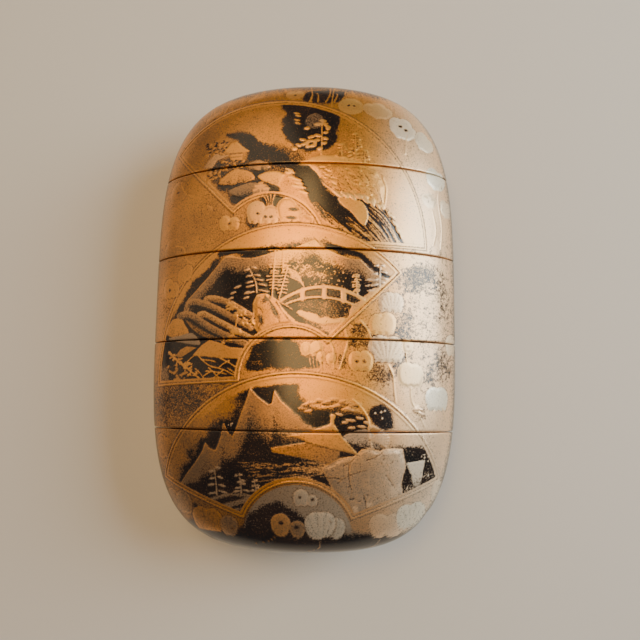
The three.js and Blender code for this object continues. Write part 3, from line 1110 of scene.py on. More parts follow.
def paint_hub_blooms(sheet):
    """The blooms that fill the first fan's hub."""
    sheet.dab(-4.6, 18.4, 3.0, 2.0, -0.2, 0.4, gold=0.08, tone=0.2)
    sheet.dab(-8.6, 15.6, 1.4, 1.8, 0, 0.5, gold=0.3, tone=0.3)
    for n in range(4):
        vine(sheet, [(-6.8 + 0.8 * n, 20.4), (-6.0 + 0.4 * n, 19.2), (-5.8 + 0.3 * n, 17.8)], 0.24, 0.86)
    domed(sheet, [(-7.9, 17.4, 1.9), (-5.3, 16.5, 1.8)], 14.9, 0.74, 0.1)
    domed(sheet, [(-2.1, 17.8, 1.9), (-0.8, 16.8, 1.5)], 15.1, 0.76)
    for u, v, half_u, half_v in (
        (-6.1, 16.1, 0.36, 0.3), (-5.0, 16.1, 0.36, 0.3), (-7.6, 16.8, 0.4, 0.2), (-0.8, 17.4, 1.0, 0.34),
        (-1.2, 15.8, 1.0, 0.3), (1.5, 16.3, 0.3, 0.3),
    ):
        sheet.dab(u, v, half_u, half_v, -0.1, 0.15, gold=0.2, tone=0.3)
    bloom(sheet, 1.7, 15.6, 2.6, 2, 0.4, 0.4, 0.74, 0.0, 0.0, 0)


def paint_middle_fan(sheet):
    """A great mountain over a bridge, with pines and long ridges running down to the shore."""
    fan = Fan(sheet, (-1.0, -14.0), 28.8, 9.4, 44.0, 182.6)
    fan.open(gold=0.07, tone=0.25, silver=0.0, lift=0.0)
    fan.glow(2.0, 116, 150, 0.64)
    fan.glow(4.2, 64, 117, 0.72)
    fan.glow(3.4, 44, 62, 0.5)
    west = [
        (-22.4, 0.6), (-20.0, 2.6), (-17.2, 5.2), (-15.4, 7.2), (-13.8, 8.8), (-11, 8.4), (-8.6, 8.2),
        (-6.6, 8.6),
    ]
    east = [
        (-3.6, 9.4), (0, 10.2), (3.2, 11.6), (4.6, 10.2), (7.4, 8.9), (9.4, 8.2), (11.6, 8.0), (13.0, 6.6),
    ]
    rift = curve([(5.6, 10.6), (7.6, 10.0), (9.6, 9.4), (11.6, 8.9), (13.2, 7.6), (14.9, 6.3), (17.4, 4.8)])
    sheet.stroke(rift, 1.15, 0.3, 0.25, **BARE)
    rift = curve([(-15.0, 9.4), (-12.0, 9.7), (-9.0, 9.4), (-6.0, 9.8)])
    sheet.stroke(rift, 1.0, 0.5, 0.3, **BARE)
    mountains(sheet, [*west, *east, (14.6, 5.4), (17.0, 4.2)], 3.4, 0.36, 0.10, 0.86)
    summit = [(-6.6, 8.6), (-3.6, 9.4), (0, 10.2), (3.2, 11.6), (4.6, 10.2), (7.4, 8.9), (9.4, 8.2)]
    mountains(sheet, summit, 3.3, 0.95, feather=4.5)
    for u, v, half_u, half_v in (
        (2.0, 11.5, 1.2, 0.6), (4.9, 11.2, 1.0, 0.7), (1.6, 6.0, 1.6, 0.7), (3.0, 5.0, 3.0, 0.7),
    ):
        sheet.dab(u, v, half_u, half_v, 0, 0.5, gold=0.45)
    sheet.stroke(curve([(0.2, 10.2), (3.2, 11.6), (5.2, 9.8)], steps=2), 0.3, gold=1.0, tone=0.95)
    grains(sheet, (-0.4, 3.0), (9.0, 7.6), 120)
    grains(sheet, (0.2, -2.4), (9.4, 0.5), 90)
    for u, v in (
        (1.2, 5.9), (2.4, 4.7), (4.3, 4.8), (4.0, 6.4), (1.4, 6.6), (-0.2, 6.3), (0.6, 7.2), (6.8, 7.0),
    ):
        gull = [(u - 0.5, v + 0.35), (u, v - 0.05), (u + 0.5, v + 0.35)]
        sheet.stroke(gull, 0.16, gold=1.0, tone=0.95, lift=0.04)
    pine(sheet, -7.4, 1.8, 4.9, 5, 0.46, -1.8, 0.66, 0.2)
    for u, v, half in (
        (-11.1, 3.0, 0.75), (-12.0, 1.9, 0.7), (-12.4, 0.9, 0.6), (-9.2, 1.9, 0.6), (-9.4, 0.9, 0.6),
    ):
        sheet.dab(u, v, half, 0.2, 0.3, gold=1.0, tone=0.62, silver=0.25, lift=0.08)
    cedar(sheet, -4.5, 0.8, 9.0, 14, 1.3, 0.4, 0.78)
    cedar(sheet, -2.6, 5.6, 4.4, 8, 1.5, 0.1, 0.8)
    cedar(sheet, -3.2, 0.6, 6.2, 9, 1.1, 1.6, 0.84)
    for n in range(5):
        bough = [
            (-1.5 + 0.1 * n, 6.2 - 0.4 * n), (-0.2 + 0.2 * n, 5.6 - 0.45 * n),
            (0.6 + 0.2 * n, 4.6 - 0.45 * n),
        ]
        sheet.stroke(curve(bough, steps=3), 0.22, gold=1.0, tone=0.9, lift=0.06)
    cedar(sheet, 11.1, 1.4, 3.9, 8, 0.85, -0.2, 0.86)
    pine(sheet, 15.3, 3.2, 4.0, 4, 0.5, 0.15, 0.5, 0.45)
    for u, v in ((13.3, 4.4), (13.2, 3.3), (13.6, 2.4)):
        sheet.dab(u, v, 0.75, 0.18, 0.15, gold=1.0, tone=0.6, silver=0.4, lift=0.06)
    paint_bridge_and_banks(sheet)
    paint_long_ridges(sheet)
    paint_reed_bed(sheet)
    fan.close()


def paint_bridge_and_banks(sheet):
    """The bridge, its two banks and the crag at its near end."""
    mist = sheet.area([(-0.4, 0.4), (10.0, 0.4), (9.8, -3.0), (6.6, -7.2), (2.0, -4.6)], 0.5)
    sheet.lay(mist, gold=0.26 + 0.3 * (sheet.of(sheet.mottle, mist) - 0.5), tone=0.5, silver=0.05)
    bank = [
        (9.6, -3.6), (9.7, -1.4), (10.6, 0.2), (12.2, 1.4), (14.2, 3.0), (17.2, 3.4), (13.0, -1.6),
        (6.6, -8.0),
    ]
    sheet.fill(bank, 0.12, 0.25, gold=0.96, tone=0.62, lift=0.05)
    bridge(
        sheet, arch((-2.8, 0.3), (12.2, 0.7), 2.35), arch((-1.8, -0.3), (10.3, -0.3), 1.25),
        (1.1, 5.1, 8.6),
    )
    sheet.fill(
        [(4.6, -3.0), (9.0, -2.9), (9.3, -4.2), (6.8, -6.4), (4.8, -4.4)], 0.3, 0.3, gold=0.8, tone=0.6,
    )
    spit = [
        (0.0, -2.0), (0.8, -1.4), (1.8, -1.8), (2.6, -1.9), (3.6, -2.1), (4.5, -3.0), (5.6, -2.7),
        (7.0, -3.1),
    ]
    spit += [(8.4, -2.7), (9.4, -3.2), (7.4, -3.8), (4.0, -3.8), (1.6, -2.9)]
    sheet.fill(curve(spit, True), 0.12, 0.15, gold=1.0, tone=0.92, lift=0.05)
    crag = [
        (-8.0, -0.2), (-7.3, 1.3), (-5.7, 1.6), (-4.2, 0.6), (-3.2, -0.4), (-1.6, -2.2), (0.8, -4.2),
        (-3.0, -4.6),
    ]
    cracks = [
        [(-5.8, 1.2), (-4.2, -0.8), (-3.0, -3.6)],
        [(-3.6, 0.0), (-2.4, -1.8), (-1.0, -3.6)],
        [(-7.2, -0.8), (-6.2, -2.0), (-6.8, -4.8)],
    ]
    rock(sheet, [*crag, (-6.2, -6.4), (-7.6, -4.6)], cracks, 0.64, 0.0, 0.09)
    for u, v, half, turn in ((-4.0, -1.6, 1.4, -1.0), (-6.5, -3.2, 1.0, -1.3), (-5.6, 0.4, 0.8, 0.4)):
        sheet.dab(u, v, half, 0.45, turn, 0.3, gold=0.25, tone=0.35, silver=0.1)
    vine(sheet, [(-4.6, 0.9), (-2.6, -0.2), (-0.6, -1.4)], 0.3, 0.9)
    vine(sheet, [(-3.4, 0.2), (-2.4, -1.6), (-1.0, -3.0)], 0.26, 0.9)


def paint_long_ridges(sheet):
    """Four long ridges that run down from the left, and the thicket over them."""
    for points, width, tone in (
        ([(-17.6, 0.9), (-16.0, 1.0), (-12.6, 0.0), (-8.2, -2.5)], 1.25, 0.52),
        ([(-22.2, -0.6), (-21.6, 0.4), (-19.6, 0.5), (-15.4, -0.9), (-8.4, -4.7)], 1.3, 0.42),
        ([(-19.0, -1.9), (-17.6, -2.0), (-13.0, -4.2), (-8.2, -6.6)], 1.2, 0.64),
        ([(-24.0, -2.0), (-22.4, -1.7), (-20.4, -2.2), (-15.8, -4.8), (-8.8, -7.8)], 1.4, 0.42),
    ):
        long_ridge(sheet, points, width, tone)
    for n in range(7):
        line = [
            (-22.6 + 0.3 * n, -2.6 - 0.3 * n), (-19.0 + 0.3 * n, -4.5 - 0.3 * n),
            (-15.6 + 0.8 * n, -6.3 - 0.2 * n),
        ]
        sheet.stroke(curve(line), 0.16, 0.4, gold=0.7, tone=0.34 + 0.1 * (n % 3))
    knoll = [
        (-27.8, -5.0), (-26.6, -3.4), (-25.4, -2.4), (-23.2, -2.6), (-22.5, -3.5), (-21.4, -5.4),
        (-24.4, -6.2),
    ]
    hill(sheet, knoll, 0.64, 6.0)
    hill(sheet, [(-26.8, -6.2), (-23.4, -5.7), (-20.4, -5.4), (-18.6, -7.6), (-22.4, -7.2)], 0.34, 3.0, 0.2)
    slope = [
        (-20.4, -9.6), (-18.4, -7.8), (-16.6, -6.8), (-15.0, -7.2), (-12.0, -8.2), (-8.9, -8.5),
        (-9.6, -10.4),
    ]
    sheet.fill([*slope, (-13.0, -10.2), (-17.0, -9.9)], EDGE, 0.1, gold=1.0, tone=0.68, lift=0.06)
    hut = [(-24.7, -9.6), (-23.4, -8.4), (-21.8, -7.8), (-19.4, -8.1), (-21.0, -8.9), (-23.0, -9.9)]
    sheet.fill(hut, gold=0.95, tone=0.56, lift=0.06)
    stem = [(-13.4, 0.2), (-11.2, -1.0), (-9.6, -3.0), (-8.2, -4.8)]
    vine(sheet, stem, 0.3, 0.8)
    vine(sheet, [(-11.0, -1.6), (-11.2, -3.8), (-11.8, -5.6), (-13.1, -7.1)], 0.3, 0.8)
    for u, v, count in (
        (-12.2, -0.6, 14), (-10.4, -2.0, 14), (-9.0, -3.6, 10), (-11.6, -5.2, 16), (-12.9, -6.8, 4),
    ):
        tuft(sheet, u, v, count, 1.0, 0.6, 0.9, 0.78)


def paint_reed_bed(sheet):
    """Crossing stems and leafy branches at the fan's lower left."""
    for start, end, bow in (
        ((-21.6, -10.8), (-19.0, -9.3), 0.2), (
            (-18.8, -9.8), (-15.8, -11.8), -0.2,
        ), ((-16.0, -11.7), (-10.9, -13.5), 0.3),
        (
            (-14.2, -10.2), (-10.9, -11.9), 0.1,
        ), ((-17.2, -12.5), (-12.8, -13.1), 0.1), ((-16.6, -11.9), (-14.4, -13.7), 0.0),
        (
            (-18.2, -10.4), (-15.2, -10.8), 0.1,
        ), ((-13.6, -12.4), (-15.6, -13.8), 0.0), ((-12.4, -10.6), (-14.6, -12.0), 0.1),
        (
            (-19.6, -12.0), (-17.6, -13.8), 0.2,
        ), ((-12.6, -12.0), (-11.2, -12.9), 0.0), ((-17.6, -13.4), (-15.8, -12.6), 0.1),
    ):
        middle = ((start[0] + end[0]) / 2, (start[1] + end[1]) / 2 + bow)
        sheet.stroke(curve([start, middle, end]), 0.26, 0.3, gold=1.0, tone=0.8, lift=0.1)
    vine(sheet, [(-26.4, -8.8), (-24.0, -10.5), (-21.4, -12.0), (-18.0, -14.2)], 0.6, 0.8)
    for u, v, count in ((-25.2, -9.6, 8), (-23.6, -10.8, 12), (-21.2, -11.6, 16), (-20.2, -12.8, 10)):
        tuft(sheet, u, v, count, 1.0, 0.7, 0.9, 0.8)
    mottled(sheet, (-29.0, -14.8), (-21.6, -11.6), 60, 0.5)
    for u in (-28.6, -27.2):
        sheet.dab(u, -13.0, 0.8, 1.6, 0.2, 0.4, gold=0.7, tone=0.4, silver=0.1, lift=0.03)


def paint_middle_ground(sheet):
    """The ground right of the middle fan and inside its hub."""
    for u, v, wide, tall, depth, turn in (
        (23.2, 5.4, 4.4, 2.3, 1.0, 0.35), (20.4, -3.4, 2.4, 3.2, 0.8, 0.0), (19.2, -10.2, 2.2, 1.8, 1.0, 0.4),
        (15.4, -12.6, 2.6, 2.0, 0.8, 0.0), (28.4, 3.6, 2.4, 3.4, 0.6, 0.0), (
            28.4, -11.2, 2.6, 2.6, 0.55, 0.0,
        ),
        (11.6, -5.0, 1.5, 1.3, 0.9, 0.0), (
            11.4, -7.4, 2.0, 0.8, 0.95, 0.0,
        ), (25.4, -13.4, 1.6, 1.2, 0.7, 0.3),
        (23.2, -19.6, 1.6, 1.2, 0.6, 0.0), (8.4, -10.8, 0.7, 1.3, 1.0, 0.0), (15.2, -6.0, 1.6, 0.5, 0.9, 0.0),
    ):
        worn(sheet, u, v, wide, tall, depth, turn)
    hub = curve(
        [
            (-7.6, -8.0), (-4.4, -6.8), (0.2, -7.2), (1.2, -9.6), (4.8, -10.2), (4.2, -11.8), (-4, -12),
            (-9.4, -12.4),
        ],
        True,
    )
    sheet.fill(hub, 0.5, 0.6, gold=0.05, tone=0.3, lift=0.0)
    for domes, base, tone, silver, ribs in (
        ([(17.0, 0.4, 1.9), (18.4, 0.6, 1.6)], -1.4, 0.66, 0.35, 0.8),
        ([(15.2, -3.8, 2.0), (16.8, -3.2, 1.7)], -5.6, 0.72, 0.0, 0.1),
        ([(15.4, -8.0, 2.3), (18.0, -8.0, 2.1)], -10.6, 0.72, 0.4, 0.9),
        ([(11.0, -10.2, 1.5), (12.6, -10.2, 1.6)], -12.2, 0.74, 0.0, 0.1),
        ([(20.6, -12.4, 1.9), (22.2, -12.6, 1.9)], -15.0, 0.78, 0.1, 0.2),
        ([(20.8, -7.4, 1.2)], -8.8, 0.74, 0.1, 0.2),
        ([(26.4, -16.8, 1.9), (28.2, -16.8, 1.9)], -19.2, 0.95, 0.9, 0.5),
        ([(31.4, -6.6, 1.8)], -8.8, 0.84, 0.35, 0.3),
        ([(1.9, -8.2, 1.0), (3.8, -8.2, 1.2)], -9.6, 0.84, 0.0, 0.0),
        ([(4.6, -9.6, 0.8), (6.4, -10.0, 0.9)], -11.2, 0.76, 0.0, 0.3),
        ([(-27.4, 4.0, 1.7), (-25.6, 3.6, 1.3)], 1.8, 0.62, 0.0, 0.1),
        ([(-23.6, 6.0, 1.3), (-22.2, 6.8, 1.2)], 4.4, 0.64, 0.0, 0.1),
        ([(-28.4, -26.2, 1.9), (-26.6, -26.4, 1.5)], -29.0, 0.56, 0.0, 0.1),
    ):
        domed(sheet, domes, base, tone, silver, ribs)
    for u, v in ((11.1, -10.6), (12.4, -10.6), (20.8, -7.6), (-27.0, 3.4)):
        sheet.dab(u, v, 0.34, 0.28, 0, 0.2, gold=0.4, tone=0.3, silver=0.0)
    for n in range(5):
        sheet.stroke([(2.6 + 0.6 * n, -10.2), (2.8 + 0.6 * n, -11.8)], 0.16, 0.4, gold=1.0, tone=0.8)
    for points in (
        [(11.6, -3.2), (12.6, -4.2), (13.4, -5.6), (13.9, -8.0)],
        [(17.0, -11.2), (17.9, -13.0), (18.1, -15.4), (18.4, -18.0)],
        [(21.4, -15.2), (21.6, -17.6), (22.8, -19.4), (24.6, -22.6)],
        [(26.6, -19.2), (27.2, -21.4), (29.2, -24.2), (31.6, -25.8)],
        [(28.6, -18.8), (29.8, -21.0), (31.2, -24.0)],
        [(20.5, -8.8), (20.7, -11.0)],
        [(5.6, -6.4), (6.8, -8.4), (7.0, -11.8)],
        [(8.0, -12.0), (8.8, -9.4), (9.4, -7.2), (9.0, -4.8)],
        [(4.6, -10.6), (4.8, -12.0)],
    ):
        vine(sheet, points, 0.26, 0.86)
    tuft(sheet, 22.8, -19.2, 6, 0.8, 0.7, 1.0, 0.5)
    ripples(sheet, (-8.0, -12.0), (-6.0, -8.6), 7, 0.0, (0.5, 1.3))


def paint_bottom_fan(sheet):
    """Snowy crags, thatched roofs and a great rock by the water."""
    fan = Fan(sheet, (0.4, -42.6), 30.0, 10.4, 20.5, 160.5)
    fan.open(gold=0.06, tone=0.22, silver=0.0, lift=0.0)
    fan.glow(4.6, 118, 165, 0.56)
    fan.glow(2.0, 92, 126, 0.70)
    shore = [
        (0.0, -12.0), (0.6, -16.4), (2.0, -18.4), (6.0, -19.2), (12.0, -20.4), (14.4, -25.6), (26.0, -26.2),
        (30, -14),
    ]
    land = sheet.area(shore, 0.8, 0.7)
    sheet.lay(land, gold=0.94, tone=0.66 + 0.2 * (sheet.of(sheet.cloud, land) - 0.5))
    peaks = [
        (-22.8, -33.4), (-21.4, -31.8), (-19.2, -29.4), (-17.6, -27.3), (-16.9, -25.6), (-16.0, -26.6),
        (-14.8, -27.0),
    ]
    peaks += [
        (-14.2, -25.8), (-13.7, -24.4), (-13.2, -22.0), (-12.4, -23.6), (-11.4, -24.4), (-10.6, -22.6),
        (-9.4, -19.2),
    ]
    peaks += [
        (-8.7, -17.4), (-8.2, -15.7), (-6.8, -17.2), (-4.8, -18.6), (-4.1, -18.4), (-3.7, -16.1),
        (-2.5, -17.9),
    ]
    mountains(sheet, [*peaks, (0.0, -20.0), (3.6, -22.4), (5.6, -23.6)], 8.0, 0.46, 0.08, 1.0)
    valley = curve(
        [
            (-22.0, -34.4), (-15.6, -30.9), (-11.6, -28.4), (-8.4, -26.6), (-4.4, -25.3), (0.6, -24.7),
            (5, -24.6),
        ]
    )
    sheet.fill([*valley, (5, -36), (-18, -38)], 0.9, 0.9, gold=0.06, tone=0.3, lift=0.0)
    stars(sheet, -11.5, -22.3, 4, 0.5, size=0.12)
    ripples(sheet, (-9, -32.4), (5.6, -28.6), 80, 0.1)
    ripples(sheet, (0.0, -30.4), (6.6, -28.6), 30, -0.12, (1.5, 4.0), 0.72)
    paint_shoreline(sheet)
    paint_spreading_pine(sheet)
    paint_thatched_houses(sheet)
    paint_great_rock(sheet)
    fan.close()


def paint_shoreline(sheet):
    """Three small pines over the spits of land at the water's edge."""
    for n, (u, v) in enumerate(((-14.6, -35.0), (-9.7, -34.4), (-6.9, -33.9))):
        pine(sheet, u, v, 4.8 - 1.3 * n, 4 - n // 2, 0.46, -0.4, 0.5, 0.3)
    for points, width in (
        ([(-16.4, -36.3), (-12.6, -34.9), (-8.4, -34.8)], 0.8),
        ([(-14.0, -37.4), (-9.6, -35.9), (-5.4, -33.9)], 1.1),
        ([(-12.4, -38.2), (-10.0, -37.3), (-8.2, -37.2)], 0.5),
        ([(-4.0, -32.7), (0.0, -32.0), (4.0, -32.6)], 0.25),
    ):
        sheet.stroke(curve(points), width, 0.4, 0.25, gold=0.7, tone=0.40, silver=0.2, lift=0.04)


def paint_thatched_houses(sheet):
    """Two broad roofs with swept eaves, and the finial over them."""
    lower = [(-4.3, -26.1), (-3.9, -26.9), (0, -27.6), (6.6, -28.9), (7.9, -27.6), (8.3, -26.2), (3.0, -24.9)]
    roof = sheet.area(lower)
    sheet.lay(roof, gold=0.96, tone=0.62 - 0.02 * (roof.u + 4), silver=0.0, lift=0.07)
    for n in range(10):
        course = [
            (-3.9 + 0.5 * n, -26.2 - 0.1 * n), (2, -25.5 - 0.31 * n), (8.1 - 0.15 * n, -26.5 - 0.26 * n),
        ]
        sheet.stroke(curve(course), 0.1, gold=0.70, tone=0.42, lift=0.06)
    eaves = [
        (-1.6, -24.1), (1.6, -23.4), (4.4, -22.5), (6.4, -21.8), (7.2, -22.0), (8.4, -24.0), (9.8, -25.9),
    ]
    upper = sheet.area([*eaves, (11.4, -27.3), (9.4, -26.7), (5.0, -25.7), (2.2, -25.0), (0.4, -24.2)])
    sheet.lay(upper, gold=1.0, tone=0.60 + 0.16 * ease(upper.v, -26, -22), silver=0.0, lift=0.09)
    sheet.stroke(curve([(7.0, -22.1), (8.8, -24.5), (11.4, -27.2)]), 0.24, gold=1.0, tone=0.96, lift=0.14)
    sheet.stroke([(2.2, -25.1), (5.0, -25.8), (9.4, -26.8)], 0.16, gold=0.35, tone=0.3)
    for u, v, wide in ((6.8, -20.5, 0.5), (6.7, -21.2, 0.36), (6.7, -21.8, 0.4)):
        sheet.dab(u, v, wide, 0.5, gold=1.0, tone=0.84, lift=0.1)


def paint_spreading_pine(sheet):
    """A pine with cloud-shaped pads between the roofs and the rock."""
    gloom = [
        (0.0, -19.8), (4.6, -20.0), (8.2, -20.2), (12.6, -20.2), (13.4, -22.4), (12.6, -24.0), (6.0, -23.6),
    ]
    sheet.fill(curve(gloom, True), 0.5, 0.5, gold=0.1, tone=0.25, lift=0.0)
    for n in range(20):
        u = 1.4 + 0.52 * n
        v = -19.1 + 0.9 * math.sin(0.16 * n) + 0.75 * math.sin(n * 2.4)
        # A dark pad just under each cushion: painted shadow.
        sheet.dab(u, v - 0.36, 0.85, 0.22, gold=0.45, tone=0.35)
        cushion = sheet.pad(u, v, 0.8, 0.28, 0.2 * math.sin(n))
        rim = ease(cushion.along, 0.6, 0.3)
        sheet.lay(
            cushion, gold=0.80 + 0.2 * rim, tone=0.58 + 0.3 * rim, silver=0.05, lift=0.05 * cushion.along,
        )
    green = sheet.area(
        curve(
            [(8.6, -24.2), (10.4, -23.1), (12.8, -22.7), (14.2, -23.6), (15.4, -26.0), (11.2, -25.6)], True,
        )
    )
    sheet.lay(green, gold=0.95 - 0.6 * ease(green.v, -23.8, -25.8), tone=0.38, silver=0.3, lift=0.03)
    for u, v, half, turn in (
        (10.0, -21.1, 0.95, -0.1), (11.6, -20.7, 0.7, -0.2), (12.0, -22.2, 0.9, -0.1),
        (12.9, -21.5, 0.6, -0.2), (9.0, -21.5, 0.6, 0.1), (10.2, -22.4, 0.7, 0.1),
        (13.8, -22.3, 0.8, 0.2), (9.9, -19.2, 0.8, -0.3), (15.0, -22.4, 0.7, 0.2),
        (8.0, -20.1, 0.7, -0.2),
    ):
        sheet.dab(u, v, half, 0.26, turn, gold=1.0, tone=0.70, silver=0.15, lift=0.08)
    dark = curve(
        [(13.0, -20.0), (14.2, -18.7), (16.4, -18.6), (17.9, -20.4), (17.6, -22.4), (15.2, -22.6)], True,
    )
    sheet.fill(dark, 0.5, 0.5, lift=0.0, **BARE)
    for u, v in ((14.5, -19.8), (15.6, -19.6), (16.3, -19.4), (15.8, -20.7)):
        sheet.dab(u, v, 0.2, 0.2, gold=1.0, tone=1.0, silver=0.7, lift=0.03)
    for n in range(7):
        lean = 0.9 - 0.24 * n
        needle = [(13.8, -24.4), (13.8 + 3.2 * math.cos(lean), -24.6 + 2.2 * math.sin(lean))]
        sheet.stroke(needle, 0.42, 0.3, gold=1.0, tone=0.56, silver=0.25, lift=0.08)
    trunk = curve([(10.4, -17.5), (11.9, -18.9), (13.2, -21.0), (13.4, -23.8), (14.0, -26.1)])
    sheet.stroke(trunk, 0.3, gold=1.0, tone=0.74, lift=0.08)


def paint_great_rock(sheet):
    """The veined rock, and the dark bay with its sail beyond."""
    bay = [
        (19.6, -26.0), (22.6, -25.9), (25.6, -26.6), (26.6, -29.0), (26.4, -33.4), (23.0, -34.6),
        (19.4, -36.0),
    ]
    sheet.fill(bay, 0.3, 0.4, lift=0.0, **BARE)
    stars(sheet, 24.8, -27.4, 14, 0.7, size=0.13)
    stars(sheet, 25.0, -31.0, 30, 0.9, 0.6, 0.09)
    stars(sheet, 20.8, -33.4, 26, 0.7, 0.6, 0.09)
    sail = sheet.area([(20.4, -28.7), (24.5, -28.2), (23.4, -33.7), (22.0, -33.0), (21.6, -31.0)], 0.12)
    sheet.lay(sail, gold=0.95 - 0.5 * ease(sail.v, -30, -33.5), tone=0.48, silver=0.6, lift=0.04)
    outline = [
        (5.1, -29.6), (6.4, -28.7), (8.2, -27.8), (10.8, -27.5), (12.0, -26.3), (13.6, -26.0),
        (15.4, -26.6),
    ]
    outline += [
        (16.6, -26.1), (19.7, -26.2), (20.3, -29.2), (19.5, -32.4), (20.0, -35.6), (11.2, -40.2),
        (9.6, -37.2),
    ]
    outline += [(8.0, -34.9), (6.4, -32.4)]
    cracks = [
        [(8.8, -29.1), (10.0, -28.4), (10.8, -27.7)],
        [(13.0, -28.1), (14.4, -27.6), (15.8, -26.8)],
        [(6.0, -31.2), (7.6, -31.3), (8.6, -31.5), (9.8, -30.8), (12.8, -29.9)],
        [(8.4, -31.6), (7.6, -32.2)],
        [(9.8, -29.0), (9.7, -30.4), (9.9, -32.4), (10.2, -33.6), (9.9, -35.2)],
        [(12.4, -34.4), (12.8, -36.0), (12.8, -37.8)],
        [(16.6, -30.9), (18.0, -32.8), (19.4, -34.4)],
        [(13.6, -37.0), (14.0, -35.6)],
    ]
    rock(sheet, outline, cracks, 0.46, 0.12, 0.12)
    mottled(sheet, (9.0, -37.6), (18.6, -34.4), 40, 0.22)
    for u, v, count in ((11.3, -37.4, 5), (14.0, -36.8, 6), (18.9, -34.0, 8)):
        for n in range(count):
            streak = sheet.line(
                [(u - 0.2 * n, v + 0.9 + 0.1 * (n % 3)), (u + 0.1 - 0.2 * n, v - 0.8)], 0.12, 0.4,
            )
            sheet.lay(streak, gold=1.0, tone=0.9, silver=0.4, lift=0.13)


def paint_foot(sheet):
    """Blooms round the foot, in gold, cream and silver on black."""
    disc = sheet.pad(0.4, -42.6, 9.95, 9.95, 0, 0.03)
    disc.cover *= ease(disc.v + sheet.of(sheet.mottle, disc), -42.0, -39.8)
    sheet.lay(disc, gold=0.85, tone=0.30, silver=0.25)
    hub = [
        (-9.2, -39.6), (-6.4, -36.9), (-3.0, -35.6), (-1.0, -37.0), (1.0, -38.0), (3.0, -42.0),
        (-8.0, -43.0),
    ]
    sheet.fill(curve(hub, True), 0.7, 0.6, gold=0.06, tone=0.2, lift=0.0)
    for domes, base, tone, silver, ribs in (
        ([(-26.0, -36.6, 2.0), (-22.6, -37.0, 2.2)], -39.4, 0.54, 0.1, 0.3),
        ([(-18.4, -39.7, 2.2), (-15.8, -39.8, 2.1)], -42.6, 0.64, 0.0, 0.3),
        ([(-12.4, -40.6, 1.8)], -43.2, 0.48, 0.1, 0.5),
        ([(-2.5, -39.7, 1.8)], -42.6, 0.6, 0.1, 0.2),
        ([(0.5, -40.6, 1.4)], -42.8, 0.5, 0.1, 0.4),
        ([(1.2, -34.7, 1.4), (3.2, -35.3, 1.0)], -36.4, 0.4, 0.4, 0.2),
        ([(7.4, -40.2, 1.7)], -43.2, 0.38, 0.5, 0.9),
        ([(4.0, -39.6, 2.2), (5.4, -39.4, 2.0)], -43.6, 0.44, 0.55, 0.9),
        ([(15.5, -39.9, 2.0), (18.4, -40.1, 2.1)], -43.2, 0.7, 0.2, 0.3),
        ([(20.8, -38.4, 2.0), (23.2, -38.3, 2.3)], -41.4, 0.95, 0.95, 0.7),
        ([(28.4, -34.0, 2.0)], -36.6, 0.7, 0.4, 0.3),
    ):
        domed(sheet, domes, base, tone, silver, ribs)
    for u, v, size in (
        (-19.6, -37.4, 0.5), (-2.4, -39.7, 0.45), (0.4, -40.5, 0.5), (3.3, -35.2, 0.34), (1.0, -34.8, 0.24),
    ):
        sheet.dab(u, v, size, size * 0.8, 0, 0.2, gold=0.15, tone=0.2, silver=0.0)
    for points in (
        [(-17.4, -43.6), (-17.0, -45.4), (-19.0, -46.8)],
        [(4.4, -43.8), (4.2, -45.4), (2.0, -46.8)],
        [(15.6, -43.8), (14.8, -45.4), (12.0, -46.4)],
        [(21.4, -42.0), (22.4, -43.4), (21.6, -45.2)],
        [(-3.0, -42.2), (-5.0, -43.8), (-7.6, -44.8)],
    ):
        vine(sheet, points, 0.26, 0.5)


def rubs_and_painted_light(sheet):
    """Small rubs all over, then painted light: painted shade that dulls the gold to the left and towards the
    foot, and a painted cool reflection that pales and silvers it to the right.
    """
    for _ in range(260):
        u, v = sheet.random.uniform((-31, -43), (31, 43))
        scratch = sheet.pad(u, v, sheet.random.uniform(0.1, 0.3), 0.09, sheet.random.uniform(-1.5, 1.5))
        sheet.lay(scratch, gold=0.3, silver=0.0)
    u = sheet.whole.u
    # Painted reflection of the cool light pales and silvers the gold on the right flank; painted shade dulls
    # it on the left flank.
    painted_right_reflection, painted_left_shade = ease(u, 11, 25), ease(u, -2, -26)
    # Painted shade that darkens and thins the gold towards the foot and the lower left.
    foot = ease(sheet.whole.v + 0.5 * u, -8, -46)
    # Painted cool reflection that silvers the gold towards the lower right.
    painted_lower_right_reflection = ease(sheet.whole.v, -18, -40) * ease(u, -6, 12)
    sheet.layers["silver"] += (0.5 * painted_right_reflection + 0.25 * painted_lower_right_reflection + 0.07 * painted_left_shade) * (1 - sheet.layers["silver"])
    sheet.layers["tone"] += 0.12 * painted_right_reflection - 0.06 * painted_left_shade - 0.16 * foot
    sheet.layers["gold"] *= 1 - 0.12 * foot
    sheet.layers["lift"] = 0.7 * softened(sheet.layers["lift"])


@lru_cache(maxsize=None)
def front_sheet():
    """The decorated front: three landscape fans strewn over blooms on a gold ground."""
    sheet = Sheet(7)
    paint_ground(sheet)
    paint_upper_ground(sheet)
    paint_first_fan(sheet)
    paint_hub_blooms(sheet)
    paint_middle_fan(sheet)
    paint_middle_ground(sheet)
    paint_bottom_fan(sheet)
    paint_foot(sheet)
    rubs_and_painted_light(sheet)
    return sheet


